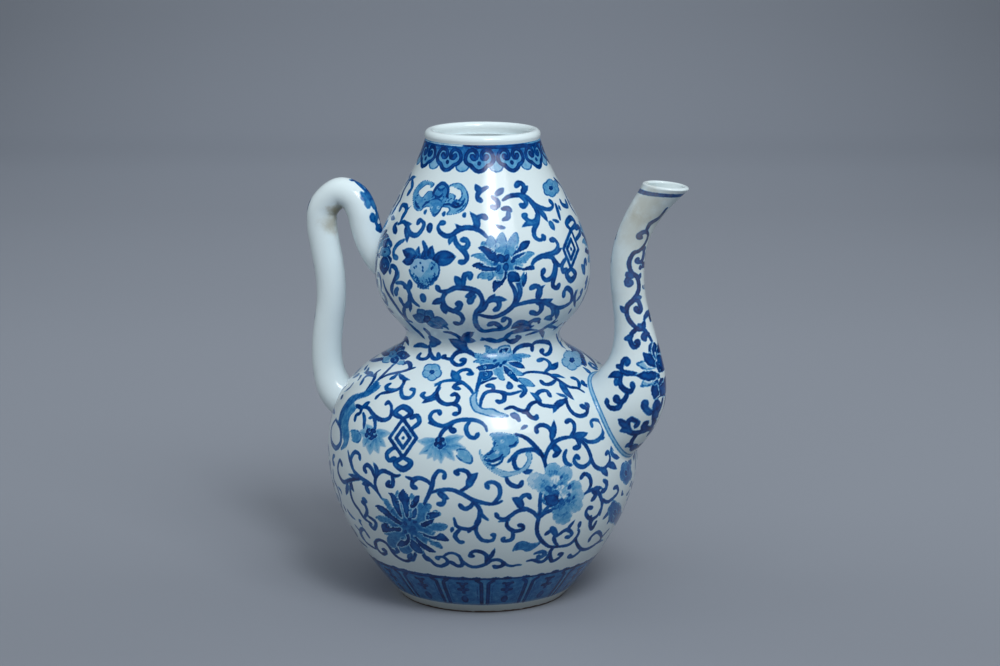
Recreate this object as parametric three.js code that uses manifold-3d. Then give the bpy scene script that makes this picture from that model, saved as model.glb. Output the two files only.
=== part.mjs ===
// A porcelain ewer in the shape of a double gourd, with an S-shaped spout and an
// S-shaped handle, as a potter builds it: the body is luted together from thrown
// sections, the spout from two press-moulded halves, and the handle is a rolled rod.
// Millimetres, +Z up. The origin is the centre of the foot's underside, the spout
// points along +X and the handle lies at -X.

import * as THREE from 'three';
import { mergeVertices } from 'three/addons/utils/BufferGeometryUtils.js';
import Module from 'manifold-3d';

// Body: the radii of its outline, and the heights of its sections from the foot up
const footRadius = 39.4;
const bellyRadius = 72.8;
const waistRadius = 35.9;
const upperBellyRadius = 49.95;
const neckRadius = 26.4;
const footToBelly = 68.5;
const bellyToWaist = 55.5;
const waistToUpperBelly = 30.5;
const upperBellyToNeck = 61;
const wallThickness = 4.2;

// Foot: a low ring left standing round a shallow recess
const footRingWidth = 5.4;
const footRecess = 1.4;
const floorThickness = 5.6;
const footRounding = 0.7;

// Mouth: a rolled lip on the edge of the neck
const lipHeight = 3.8;
const lipUpright = 1.3;

// Luted joints of the body: a film of slip between two edges, which stands proud inside
const slipFilm = 0.4;
const slipRidge = 0.9;

// Spout: its path starts inside the wall and ends just above the level lip
const spoutRootRise = 15.5;
const spoutRise = 117.5;
const spoutThrow = 15.5;
const spoutStandoff = 22.85;
const spoutTrim = 2.5;
const spoutRootRadius = 19.4;
const spoutNeckRadius = 7.75;
const spoutWall = 2.9;
const spoutSeam = 0.8;
const pouringHoleRadius = 6;

// Handle: a round rod, bent like an S with a hairpin at its top
const handleRadius = 7.2;
const handleRootRadius = 9.4;
const handleRootRise = 11.5;
const handleRise = 106.2;
const handleOutset = 9;

// Collars of slip smoothed round the roots of spout and handle
const collarWidth = 1.7;
const collarHeight = 1.1;

// The gap left where one piece is cut to the shape of another
const fitGap = 0.3;

// The side of the blocks that cut a piece off
const cutter = 420;

// Fineness of the round forms
const bodySides = 48;
const spoutSides = 20;
const handleSides = 14;
const curveSteps = 8;
const lipSteps = 6;
const spoutSteps = 24;
const handleSteps = 36;

const bellyHeight = footToBelly;
const waistHeight = bellyHeight + bellyToWaist;
const upperBellyHeight = waistHeight + waistToUpperBelly;
const neckHeight = upperBellyHeight + upperBellyToNeck;
const halfFilm = slipFilm / 2;

const glaze = new THREE.MeshStandardMaterial({ color: 0xd5dee6, roughness: 0.12, metalness: 0 });
const slip = new THREE.MeshStandardMaterial({ color: 0xdcd9cf, roughness: 0.6, metalness: 0 });

const wasm = await Module();
wasm.setup();

// A closed geometry as a solid that can be cut and joined
function solid(geometry) {
  const bare = geometry.clone();
  bare.deleteAttribute('normal');
  bare.deleteAttribute('uv');
  const merged = mergeVertices(bare);
  const vertProperties = new Float32Array(merged.attributes.position.array);
  const triVerts = new Uint32Array(merged.index.array);
  return new wasm.Manifold(new wasm.Mesh({ numProp: 3, vertProperties, triVerts }));
}

// A solid as a geometry that a mesh can show
function geometryOf(form) {
  const { vertProperties, triVerts } = form.getMesh();
  const geometry = new THREE.BufferGeometry();
  geometry.setAttribute('position', new THREE.BufferAttribute(vertProperties, 3));
  geometry.setIndex(new THREE.BufferAttribute(triVerts, 1));
  return geometry;
}

const at = (radius, height) => new THREE.Vector2(radius, height);

// A closed outline of radii and heights, turned round the vertical axis
function turned(outline) {
  return new THREE.LatheGeometry([...outline, outline[0]], bodySides).rotateX(Math.PI / 2);
}

// One stretch of the body's outline: a cubic curve that leaves and arrives at given
// angles, with handles that are shares of the distance between its ends
function stretch(from, to, leaveAngle, arriveAngle, [leaveShare, arriveShare]) {
  const span = from.distanceTo(to);
  const leave = at(Math.cos(leaveAngle), Math.sin(leaveAngle)).multiplyScalar(leaveShare * span);
  const arrive = at(Math.cos(arriveAngle), Math.sin(arriveAngle)).multiplyScalar(arriveShare * span);
  return new THREE.CubicBezierCurve(from, from.clone().add(leave), to.clone().sub(arrive), to);
}

const upright = Math.PI / 2;
const footSlope = THREE.MathUtils.degToRad(47);
const neckSlope = THREE.MathUtils.degToRad(105.5);

const footEdge = at(footRadius, footRounding);
const belly = at(bellyRadius, bellyHeight);
const waist = at(waistRadius, waistHeight);
const upperBelly = at(upperBellyRadius, upperBellyHeight);
const neck = at(neckRadius, neckHeight);

const bowlShares = [0.323, 0.323];
const shoulderShares = [0.68, 0.193];
const upperBowlShares = [0.208, 0.6];
const neckShares = [0.345, 0.347];

const bowlCurve = stretch(footEdge, belly, footSlope, upright, bowlShares);
const shoulderCurve = stretch(belly, waist, upright, upright, shoulderShares);
const upperBowlCurve = stretch(waist, upperBelly, upright, upright, upperBowlShares);
const neckCurve = stretch(upperBelly, neck, upright, neckSlope, neckShares);

// Points along a stretch, moved sideways: a positive distance is outwards
function offsetPoints(curve, distance) {
  const points = [];
  for (let step = 0; step <= curveSteps; step += 1) {
    const share = step / curveSteps;
    const tangent = curve.getTangent(share);
    points.push(curve.getPoint(share).addScaledVector(at(tangent.y, -tangent.x), distance));
  }
  return points;
}

// A wall between two luted joints: its outside runs up and its inside down, and
// both of its edges stop half a film of slip short of the joint
function wallSection(curve) {
  const outside = offsetPoints(curve, 0);
  const inside = offsetPoints(curve, -wallThickness);
  for (const side of [outside, inside]) {
    side[0].y = curve.getPoint(0).y + halfFilm;
    side[side.length - 1].y = curve.getPoint(1).y - halfFilm;
  }
  return [...outside, ...inside.reverse()];
}

// The lowest section: foot ring, recess, floor and bowl are thrown and turned in one
function footSection() {
  const ringOutside = footRadius - footRounding;
  const ringInside = ringOutside - footRingWidth;
  const floorTop = footRecess + floorThickness;
  const clearOfFloor = (point) => point.y > floorTop + wallThickness;
  const outside = offsetPoints(bowlCurve, 0);
  const inside = offsetPoints(bowlCurve, -wallThickness).filter(clearOfFloor);
  outside[outside.length - 1].y = bellyHeight - halfFilm;
  inside[inside.length - 1].y = bellyHeight - halfFilm;
  const bend = at(inside[0].x - wallThickness, floorTop + wallThickness / 4);
  return [
    at(0, footRecess),
    at(ringInside - footRounding, footRecess),
    at(ringInside, footRecess - footRounding),
    at(ringInside, 0),
    at(ringOutside, 0),
    ...outside,
    ...inside.reverse(),
    bend,
    at(bend.x - wallThickness, floorTop),
    at(0, floorTop),
  ];
}

// The radii of the wall's two faces at the edge of the neck
const neckOutside = neckRadius;
const neckInside = offsetPoints(neckCurve, -wallThickness)[curveSteps].x;

// A film of slip between two edges, as wide as they are and proud inside
function slipRing(outside, inside, height) {
  const proud = inside - slipRidge;
  const low = height - halfFilm;
  const high = height + halfFilm;
  return [at(proud, low), at(outside, low), at(outside, high), at(proud, high)];
}

// The lip: upright below and rounded over above, as a coil is rolled on the edge
function lipSection() {
  const middle = (neckOutside + neckInside) / 2;
  const halfWidth = (neckOutside - neckInside) / 2;
  const low = neckHeight + halfFilm;
  const points = [at(neckInside, low), at(neckOutside, low)];
  for (let step = 0; step <= lipSteps; step += 1) {
    const turn = (Math.PI * step) / lipSteps;
    const height = low + lipUpright + (lipHeight - lipUpright) * Math.sin(turn);
    points.push(at(middle + halfWidth * Math.cos(turn), height));
  }
  return points;
}

// The whole body as one full solid, grown by a distance, to cut its neighbours with
function bodyForm(distance) {
  const outline = [at(0, footRounding)];
  for (const curve of [bowlCurve, shoulderCurve, upperBowlCurve, neckCurve]) {
    outline.push(...offsetPoints(curve, distance).slice(outline.length > 1 ? 1 : 0));
  }
  outline.push(at(0, outline[outline.length - 1].y));
  return solid(turned(outline));
}

// Points of a path in the plane of spout and handle, from rows of shares. A point's x
// and z are its place and its y is the radius there, so that one smooth curve carries
// both: outwards from a base in shares of an outset, the radius in shares of a full
// radius, and upwards from a start in shares of a rise.
function pathPoints(rows, base, outset, radius, start, rise) {
  const place = ([out, width, up]) => [base + out * outset, width * radius, start + up * rise];
  return rows.map((row) => new THREE.Vector3(...place(row)));
}

// A solid swept along such a path: ring gives its section for a radius, as pairs of
// distances outwards in the plane and sideways out of it. An overrun takes it on past
// both ends of the path.
function swept(path, steps, ring, overrun = 0) {
  const positions = [];
  const indices = [];
  const sides = ring(1).length;
  for (let step = 0; step <= steps; step += 1) {
    const share = step / steps;
    const centre = path.getPoint(share);
    const tangent = path.getTangent(share);
    const along = at(tangent.x, tangent.z).normalize();
    const past = overrun * (Math.floor(share) - Math.floor(1 - share));
    const middle = at(centre.x, centre.z).addScaledVector(along, past);
    for (const [outwards, sideways] of ring(centre.y)) {
      positions.push(middle.x + outwards * along.y, sideways, middle.y - outwards * along.x);
    }
  }
  for (let step = 0; step < steps; step += 1) {
    for (let side = 0; side < sides; side += 1) {
      const next = (side + 1) % sides;
      const low = step * sides;
      const high = low + sides;
      indices.push(low + side, low + next, high + next, low + side, high + next, high + side);
    }
  }
  const last = steps * sides;
  for (let side = 1; side < sides - 1; side += 1) {
    indices.push(0, side + 1, side, last, last + side, last + side + 1);
  }
  const geometry = new THREE.BufferGeometry();
  geometry.setAttribute('position', new THREE.Float32BufferAttribute(positions, 3));
  geometry.setIndex(indices);
  return solid(geometry);
}

// A round section, wider than the path's radius by a growth
const round = (sides, growth) => (radius) => {
  const corners = Array.from({ length: sides }, (_, side) => (2 * Math.PI * side) / sides);
  return corners.map((turn) => [(radius + growth) * Math.cos(turn), (radius + growth) * Math.sin(turn)]);
};

// A block that reaches from a point's plane far out along an axis
function blockBeyond(x, y, z, axis, direction) {
  const block = new THREE.BoxGeometry(cutter, cutter, cutter);
  const middle = new THREE.Vector3(x, y, z);
  middle[axis] += (direction * cutter) / 2;
  return solid(block.translate(middle.x, middle.y, middle.z));
}

const bodyCut = bodyForm(fitGap);
const bodyCollar = bodyForm(collarHeight);

// The spout's path: its root comes out of the lower bulb's wall, and its neck stands
// off the upper bulb, beside the waist and out again to the lip
const spoutStart = bellyHeight + spoutRootRise;
const spoutTop = spoutStart + spoutRise;
const spoutRootShares = [
  [-1.2, 1, -0.03],
  [-0.56, 1, 0.055],
  [-0.12, 0.93, 0.136],
  [0.08, 0.785, 0.217],
  [0.14, 0.62, 0.291],
];
const spoutNeckShares = [
  [0.11, 1.27, 0.364],
  [0.04, 1.1, 0.432],
  [-0.06, 1.01, 0.503],
  [-0.13, 1, 0.576],
  [-0.14, 1, 0.649],
  [-0.07, 0.985, 0.72],
  [0.09, 0.96, 0.787],
  [0.36, 0.98, 0.857],
  [0.68, 1.05, 0.919],
  [1.12, 1.27, 1],
];
const spoutAxis = upperBellyRadius + spoutStandoff;
const spoutPath = new THREE.CatmullRomCurve3([
  ...pathPoints(spoutRootShares, bellyRadius, spoutThrow, spoutRootRadius, spoutStart, spoutRise),
  ...pathPoints(spoutNeckShares, spoutAxis, spoutThrow, spoutNeckRadius, spoutStart, spoutRise),
]);
const spoutForm = (growth) => swept(spoutPath, spoutSteps, round(spoutSides, growth));
const spoutBore = swept(spoutPath, spoutSteps, round(spoutSides, -spoutWall), spoutWall);

// The spout's strip of seam, on the side that the direction gives
const seamStrip = (direction) => (radius) => {
  const near = direction > 0 ? radius - spoutWall : -radius;
  const far = near + spoutWall;
  const half = spoutSeam / 2;
  return [[near, -half], [far, -half], [far, half], [near, half]];
};

const aboveLip = blockBeyond(0, 0, spoutTop - spoutTrim, 'z', 1);
const trimmedSpout = (form) => form.subtract(bodyCut).subtract(aboveLip);
const spoutShell = spoutForm(0).subtract(spoutBore);
const seamEdge = spoutSeam / 2 + fitGap;

// The hole that the potter cuts through the wall at the spout's root
const holeHeight = spoutStart + spoutRootShares[1][2] * spoutRise;
const holeLength = 6 * wallThickness;
const holeForm = new THREE.CylinderGeometry(pouringHoleRadius, pouringHoleRadius, holeLength, spoutSides);
holeForm.rotateZ(upright).translate(bellyRadius - wallThickness, 0, holeHeight);

// The handle's path, from its lower root up, over the hairpin and into the upper bulb
const handleStart = bellyHeight + handleRootRise;
const handleRootShares = [
  [-1.6, 1, -0.02],
  [-0.6, 1, 0.035],
  [0.28, 0.92, 0.1],
  [0.7, 0.8, 0.19],
];
const handleLimbShares = [
  [0.78, 1, 0.294],
  [0.66, 0.98, 0.4],
  [0.5, 0.97, 0.502],
  [0.5, 0.98, 0.588],
  [0.62, 1, 0.674],
  [0.82, 1, 0.762],
  [0.98, 1, 0.852],
  [0.86, 1, 0.926],
];
const handleTopShares = [
  [2.46, 1, 0.995],
  [1.66, 1, 0.978],
  [1.22, 1, 0.919],
  [0.97, 1, 0.842],
  [0.6, 1.03, 0.768],
  [0, 1.1, 0.706],
  [-0.9, 1.15, 0.66],
  [-2.6, 1.15, 0.6],
];
const handlePath = new THREE.CatmullRomCurve3([
  ...pathPoints(handleRootShares, -bellyRadius, -handleOutset, handleRootRadius, handleStart, handleRise),
  ...pathPoints(handleLimbShares, -bellyRadius, -handleOutset, handleRadius, handleStart, handleRise),
  ...pathPoints(handleTopShares, -upperBellyRadius, -handleOutset, handleRadius, handleStart, handleRise),
]);
const handleForm = (growth) => swept(handlePath, handleSteps, round(handleSides, growth));

// A collar of slip: the root grown sideways, on the wall grown outwards, less both
const collarOf = (form) => form(collarWidth).intersect(bodyCollar).subtract(bodyCut).subtract(form(fitGap));
const handleCollars = collarOf(handleForm);
const betweenRoots = handleStart + handleRise / 2;

const ewer = new THREE.Group();

function add(name, geometry, material) {
  const mesh = new THREE.Mesh(geometry, material);
  mesh.name = name;
  ewer.add(mesh);
}

const wallInside = (radius) => radius - wallThickness;

add('lower_bulb_base', turned(footSection()), glaze);
add('belly_slip_joint', turned(slipRing(bellyRadius, wallInside(bellyRadius), bellyHeight)), slip);
const shoulder = solid(turned(wallSection(shoulderCurve))).subtract(solid(holeForm));
add('lower_bulb_shoulder', geometryOf(shoulder), glaze);
add('waist_slip_joint', turned(slipRing(waistRadius, wallInside(waistRadius), waistHeight)), slip);
add('upper_bulb_base', turned(wallSection(upperBowlCurve)), glaze);
const upperRing = slipRing(upperBellyRadius, wallInside(upperBellyRadius), upperBellyHeight);
add('upper_belly_slip_joint', turned(upperRing), slip);
add('upper_bulb_neck', turned(wallSection(neckCurve)), glaze);
add('lip_slip_joint', turned(slipRing(neckOutside, neckInside, neckHeight)), slip);
add('mouth_lip', turned(lipSection()), glaze);

const frontHalf = trimmedSpout(spoutShell.intersect(blockBeyond(0, -seamEdge, spoutStart, 'y', -1)));
const backHalf = trimmedSpout(spoutShell.intersect(blockBeyond(0, seamEdge, spoutStart, 'y', 1)));
add('spout_front_half', geometryOf(frontHalf), glaze);
add('spout_back_half', geometryOf(backHalf), glaze);
add('spout_inner_seam', geometryOf(trimmedSpout(swept(spoutPath, spoutSteps, seamStrip(-1)))), slip);
add('spout_outer_seam', geometryOf(trimmedSpout(swept(spoutPath, spoutSteps, seamStrip(1)))), slip);
add('spout_root_collar', geometryOf(collarOf(spoutForm)), slip);

add('handle', geometryOf(handleForm(0).subtract(bodyCut)), glaze);
const lowerHalf = blockBeyond(0, 0, betweenRoots, 'z', -1);
const upperHalf = blockBeyond(0, 0, betweenRoots, 'z', 1);
add('handle_lower_collar', geometryOf(handleCollars.intersect(lowerHalf)), slip);
add('handle_upper_collar', geometryOf(handleCollars.intersect(upperHalf)), slip);

export default ewer;
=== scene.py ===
import math

import bpy
import numpy as np
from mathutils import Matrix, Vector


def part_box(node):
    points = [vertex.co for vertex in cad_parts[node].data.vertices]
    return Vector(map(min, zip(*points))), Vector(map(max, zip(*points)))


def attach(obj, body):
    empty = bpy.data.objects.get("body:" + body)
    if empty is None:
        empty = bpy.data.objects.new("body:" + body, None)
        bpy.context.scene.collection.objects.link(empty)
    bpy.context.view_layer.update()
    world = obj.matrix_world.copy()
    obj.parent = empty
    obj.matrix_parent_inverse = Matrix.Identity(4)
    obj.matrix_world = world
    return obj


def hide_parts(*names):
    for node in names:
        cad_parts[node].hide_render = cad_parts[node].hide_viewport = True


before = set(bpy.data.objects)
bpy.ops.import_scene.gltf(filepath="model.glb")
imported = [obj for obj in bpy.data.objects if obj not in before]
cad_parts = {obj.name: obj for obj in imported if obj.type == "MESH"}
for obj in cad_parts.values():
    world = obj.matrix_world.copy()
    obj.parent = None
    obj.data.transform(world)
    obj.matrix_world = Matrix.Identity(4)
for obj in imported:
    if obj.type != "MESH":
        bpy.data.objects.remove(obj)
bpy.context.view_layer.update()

# Camera
# The photograph was taken with a long lens, from a little above the ewer's waist and
# 21 degrees round from square on, so that the spout comes towards the camera.
MM = 0.001
PHOTO_WIDTH, PHOTO_HEIGHT = 1000, 666
LENS_MM, SENSOR_MM = 100.0, 36.0
FOCAL_PIXELS = LENS_MM / SENSOR_MM * PHOTO_WIDTH
VIEW_TURN = math.radians(21.0)
CAMERA_SIDE, CAMERA_AWAY, CAMERA_HEIGHT = 8.0, 1267.0, 390.0
AIM_HEIGHT = 123.6
VIEW_DIP = math.atan2(CAMERA_HEIGHT - AIM_HEIGHT, CAMERA_AWAY)


def from_view(side, away, height):
    """Points given sideways, away and up as the camera stands, in the ewer's own axes."""
    cos, sin = math.cos(VIEW_TURN), math.sin(VIEW_TURN)
    parts = (cos * side - sin * away, sin * side + cos * away, height)
    return np.stack(np.broadcast_arrays(*parts), -1)


camera_place = from_view(CAMERA_SIDE, -CAMERA_AWAY, CAMERA_HEIGHT)
camera_data = bpy.data.cameras.new("photo_camera")
camera_data.lens = LENS_MM
camera_data.sensor_width = SENSOR_MM
camera = bpy.data.objects.new("photo_camera", camera_data)
camera.location = camera_place * MM
camera.rotation_euler = (math.pi / 2 - VIEW_DIP, 0, VIEW_TURN)
bpy.context.collection.objects.link(camera)
bpy.context.scene.camera = camera
bpy.context.scene.view_settings.view_transform = "Standard"
FACING = math.atan2(camera_place[1], camera_place[0])


# Floor and light
# A matt sweep, as in a photographer's studio: flat under the ewer, rising in a wide
# bend behind it. Its colour is painted lighter further back and darker towards its sides,
# a painted falloff of light. A soft box beside the camera is the main light, and a pale room fills in.
def patch(points, normals, spot, closed=False, poles=(None, None)):
    """One sheet of a piece. points and normals are rows by columns by 3, rows running up
    and columns anticlockwise seen from outside, so that its faces point out. A closed
    sheet joins its last column to its first, and a pole closes its first or last row.
    spot is the sheet's rectangle in the piece's UV square."""
    rows, columns = points.shape[:2]
    span = columns if closed else columns - 1
    row, column = np.arange(rows - 1)[:, None], np.arange(span)[None, :]
    right = (column + 1) % columns
    low, high = row * columns, (row + 1) * columns
    corners = (low + column, low + right, high + right, high + column)
    quads = np.stack(np.broadcast_arrays(*corners), -1).reshape(-1, 4)
    sides = (column / span, (column + 1) / span)
    levels = (row / (rows - 1), (row + 1) / (rows - 1))
    around = ((0, 0), (1, 0), (1, 1), (0, 1))
    square = [np.stack(np.broadcast_arrays(sides[k], levels[m]), -1).reshape(-1, 2) for k, m in around]
    square = np.stack(square, 1)
    points, normals = points.reshape(-1, 3), normals.reshape(-1, 3)
    for end, pole in enumerate(poles):
        if pole is None:
            continue
        ring = column[0] + end * (rows - 1) * columns
        ring_right = right[0] + end * (rows - 1) * columns
        centre = np.full_like(ring, len(points))
        fan = (ring, ring_right, centre, centre) if end else (centre, ring_right, ring, ring)
        quads = np.concatenate([quads, np.stack(fan, -1)])
        edge = np.stack([column[0] / span, np.full(span, float(end))], -1)
        square = np.concatenate([square, np.repeat(edge[:, None], 4, axis=1)])
        points = np.concatenate([points, [pole]])
        normals = np.concatenate([normals, [normals[ring].mean(axis=0)]])
    left, bottom, width, height = spot
    return points, normals, quads, square * (width, height) + (left, bottom)


def new_piece(name, patches):
    """A mesh object made of patches, in millimetres."""
    counts = np.cumsum([0] + [len(p[0]) for p in patches])
    points = np.concatenate([p[0] for p in patches]).astype(np.float32) * np.float32(MM)
    normals = np.concatenate([p[1] for p in patches]).astype(np.float32)
    normals /= np.maximum(np.linalg.norm(normals, axis=1, keepdims=True), 1e-9)
    quads = np.concatenate([p[2] + start for p, start in zip(patches, counts)])
    square = np.concatenate([p[3] for p in patches])
    keep = np.ones(quads.shape, bool)
    keep[:, 3] = quads[:, 2] != quads[:, 3]
    sizes = keep.sum(axis=1)
    mesh = bpy.data.meshes.new(name)
    mesh.vertices.add(len(points))
    mesh.vertices.foreach_set("co", points.ravel())
    mesh.loops.add(int(sizes.sum()))
    mesh.loops.foreach_set("vertex_index", quads[keep].astype(np.int32))
    mesh.polygons.add(len(quads))
    starts = np.concatenate([[0], np.cumsum(sizes)[:-1]])
    mesh.polygons.foreach_set("loop_start", starts.astype(np.int32))
    mesh.polygons.foreach_set("use_smooth", np.ones(len(quads), bool))
    mesh.update(calc_edges=True)
    mesh.uv_layers.new(name="OFBake").uv.foreach_set("vector", square[keep].astype(np.float32).ravel())
    mesh.normals_split_custom_set_from_vertices(normals)
    piece = bpy.data.objects.new(name, mesh)
    bpy.context.collection.objects.link(piece)
    return piece


def slopes(points, closed=False):
    """The outward normals of a grid of points, from the differences between neighbours
    along its rows and its columns."""
    if closed:
        around = np.roll(points, -1, axis=1) - np.roll(points, 1, axis=1)
    else:
        around = np.gradient(points, axis=1)
    normals = np.cross(around, np.gradient(points, axis=0))
    return normals / np.maximum(np.linalg.norm(normals, axis=-1, keepdims=True), 1e-9)


def sweep_points(rows, columns):
    """The studio sweep: flat, then a quarter bend, then upright, away from the camera. Its
    columns lie closer together towards the middle, as cubes do."""
    near, far, bend, top = -6000.0, 1500.0, 900.0, 2600.0
    sideways = SWEEP_HALF_WIDTH * np.linspace(-1, 1, columns) ** 3
    across, along = np.meshgrid(sideways, np.linspace(0, 1, rows))
    curve = bend * math.pi / 2
    travel = along * (far - near + curve + top)
    turn = np.clip((travel - (far - near)) / bend, 0, math.pi / 2)
    away = near + np.minimum(travel, far - near) + bend * np.sin(turn)
    height = bend * (1 - np.cos(turn)) + np.maximum(travel - (far - near) - curve, 0)
    return from_view(across, away, height)


def background_share(tree, unseen, seen):
    """A value that is one number for the rays that show the background, straight, in a
    gloss or through a glaze, and another for those that only bring its light."""
    path = tree.nodes.new("ShaderNodeLightPath")
    share = tree.nodes.new("ShaderNodeMapRange")
    share.inputs["To Min"].default_value = unseen
    share.inputs["To Max"].default_value = seen
    total = path.outputs["Is Camera Ray"]
    for ray in ("Is Glossy Ray", "Is Transmission Ray"):
        both = tree.nodes.new("ShaderNodeMath")
        tree.links.new(total, both.inputs[0])
        tree.links.new(path.outputs[ray], both.inputs[1])
        total = both.outputs[0]
    tree.links.new(total, share.inputs["Value"])
    return share.outputs["Result"]


SWEEP_COLOUR, UNSEEN_SHADE = (0.238, 0.266, 0.311), 0.54
# Painted light on the sweep: each row is a share of the way along it, how many times lighter its colour is
# painted there, and how much darker it is painted towards its sides.
SWEEP_PAINTED_LIGHT = (
    (0.513, 1.0, 0.0), (0.524, 1.14, 0.0), (0.570, 1.61, 0.15), (0.586, 1.72, 0.18), (0.600, 1.85, 0.2),
    (0.617, 2.0, 0.24), (0.637, 2.32, 0.27), (0.657, 2.43, 0.27), (0.672, 2.25, 0.27), (0.681, 2.12, 0.27),
    (0.688, 2.01, 0.27),
)
SWEEP_ROWS, SWEEP_COLUMNS, SWEEP_HALF_WIDTH, SIDE_SHADE_REACH = 241, 41, 7000.0, 600.0
sweep = sweep_points(SWEEP_ROWS, SWEEP_COLUMNS)
floor = new_piece("studio_sweep", [patch(sweep, slopes(sweep), (0, 0, 1, 1))])
places, painted_lightening, painted_side_shade = (np.array(values) for values in zip(*SWEEP_PAINTED_LIGHT))
# The sweep's colour is painted lighter further back and darker towards the sides, a painted falloff of light,
# kept as its pale values.
share = np.linspace(0, 1, SWEEP_ROWS)[:, None]
aside = SWEEP_HALF_WIDTH * np.linspace(-1, 1, SWEEP_COLUMNS) ** 3 / SIDE_SHADE_REACH
painted_side_darkening = np.interp(share, places, painted_side_shade) * np.minimum(aside ** 2, 1.5)
pale = np.interp(share, places, painted_lightening) * (1 - painted_side_darkening)
floor.data.attributes.new("pale", "FLOAT", "POINT").data.foreach_set("value", pale.ravel().astype(np.float32))
matt = bpy.data.materials.new("matt_sweep")
matt.use_nodes = True
sweep_nodes, sweep_links = matt.node_tree.nodes, matt.node_tree.links
matt_shader = sweep_nodes["Principled BSDF"]
matt_shader.inputs["Roughness"].default_value = 0.9
matt_shader.inputs["Specular IOR Level"].default_value = 0.1
# The shader reads the sweep's painted light from its pale values.
painted_light_values = sweep_nodes.new("ShaderNodeAttribute")
painted_light_values.attribute_name = "pale"
seen = background_share(matt.node_tree, UNSEEN_SHADE, 1.0)
amount = sweep_nodes.new("ShaderNodeMath")
amount.operation = "MULTIPLY"
sweep_links.new(painted_light_values.outputs["Fac"], amount.inputs[0])
sweep_links.new(seen, amount.inputs[1])
cloth = sweep_nodes.new("ShaderNodeVectorMath")
cloth.operation = "SCALE"
cloth.inputs[0].default_value = SWEEP_COLOUR
sweep_links.new(amount.outputs[0], cloth.inputs["Scale"])
sweep_links.new(cloth.outputs["Vector"], matt_shader.inputs["Base Color"])
floor.data.materials.append(matt)

room = bpy.data.worlds.new("pale_room")
room.use_nodes = True
sky = room.node_tree.nodes["Background"]
sky.inputs["Color"].default_value = (0.80, 0.89, 1.0, 1)
room.node_tree.links.new(background_share(room.node_tree, 0.10, 0.20), sky.inputs["Strength"])
bpy.context.scene.world = room


def soft_box(name, turn, lift, distance, width, height, watts, mirrored=False):
    """A rectangular soft light aimed at the ewer, placed by its turn from the camera's
    side (to the right is positive), its lift above the level, and its distance. Only the
    main light is mirrored in the glaze. The others fill in, like light off pale walls."""
    data = bpy.data.lights.new(name, "AREA")
    data.shape = "RECTANGLE"
    data.size, data.size_y = width * MM, height * MM
    data.energy = watts
    lamp = bpy.data.objects.new(name, data)
    azimuth, lift = FACING + math.radians(turn), math.radians(lift)
    level = distance * math.cos(lift)
    place = (level * math.cos(azimuth), level * math.sin(azimuth), AIM_HEIGHT + distance * math.sin(lift))
    lamp.location = [value * MM for value in place]
    lamp.rotation_euler = (math.pi / 2 - lift, 0, azimuth + math.pi / 2)
    lamp.visible_glossy = mirrored
    bpy.context.collection.objects.link(lamp)


LAMPS = (
    ("key_box_core", 16, 48, 1500, 260, 500, 5.4, True), ("key_box", 24, 45, 1520, 880, 740, 9.0, True),
    ("fill_box", -9, 30, 2000, 2000, 2000, 8.6), ("left_box", -95, 22, 1800, 1500, 1500, 6.8),
    ("right_box", 90, 22, 1800, 1500, 1500, 5.8), ("top_box", -25, 86, 1600, 2300, 2300, 8.3),
)
for lamp in LAMPS:
    soft_box(*lamp)


# Lower bulb, lower half: foot ring, floor and bowl
# Thrown in one, turned at the foot and glazed all over but for the ring that it stood on
# in the kiln. The outline that starts here runs on without a break up to the neck.
def box_mm(node):
    """The lowest and highest corners of a CAD node, in millimetres."""
    low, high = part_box(node)
    return np.array(low) / MM, np.array(high) / MM


def middle_height(node):
    """The height of a CAD node's middle."""
    low, high = box_mm(node)
    return (low[2] + high[2]) / 2


FOOT_RADIUS, FOOT_ROUNDING = 39.4, 0.7
RING_WIDTH, RECESS, FLOOR_TOP, WALL = 5.4, 1.4, 7.0, 4.2
RIDGE_HEIGHT, RIDGE_WIDTH = 0.9, 1.3
belly_radius, belly_height = box_mm("lower_bulb_shoulder")[1][0], middle_height("belly_slip_joint")
waist_radius, waist_height = box_mm("waist_slip_joint")[1][0], middle_height("waist_slip_joint")
upper_radius, upper_height = box_mm("upper_bulb_neck")[1][0], middle_height("upper_belly_slip_joint")
neck_radius, neck_height = box_mm("mouth_lip")[1][0], middle_height("lip_slip_joint")
upright = math.pi / 2


def stretch(start, end, leave, arrive, leave_share, arrive_share, steps=400):
    """One stretch of the outline: a cubic Bezier curve that leaves and arrives at given
    angles, with handles that are shares of the distance between its ends."""
    start, end = np.array(start), np.array(end)
    span = np.linalg.norm(end - start)
    first = start + leave_share * span * np.array([math.cos(leave), math.sin(leave)])
    second = end - arrive_share * span * np.array([math.cos(arrive), math.sin(arrive)])
    t = np.linspace(0, 1, steps)[:, None]
    return (1 - t) ** 3 * start + 3 * (1 - t) ** 2 * t * first + 3 * (1 - t) * t * t * second + t ** 3 * end


foot_edge, belly = (FOOT_RADIUS, FOOT_ROUNDING), (belly_radius, belly_height)
waist, upper = (waist_radius, waist_height), (upper_radius, upper_height)
neck = (neck_radius, neck_height)
outline = np.concatenate([
    stretch(foot_edge, belly, math.radians(47), upright, 0.323, 0.323),
    stretch(belly, waist, upright, upright, 0.68, 0.193)[1:],
    stretch(waist, upper, upright, upright, 0.208, 0.6)[1:],
    stretch(upper, neck, upright, math.radians(105.5), 0.345, 0.347)[1:],
])
outline_arc = np.concatenate([[0], np.cumsum(np.hypot(*np.diff(outline, axis=0).T))])
outline_slope = np.gradient(outline, outline_arc, axis=0)


def radius_at(height):
    """The body's outer radius at a height."""
    return np.interp(height, outline[:, 1], outline[:, 0])


def arc_at(height):
    """The distance along the outline from the foot up to a height."""
    return np.interp(height, outline[:, 1], outline_arc)


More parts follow.
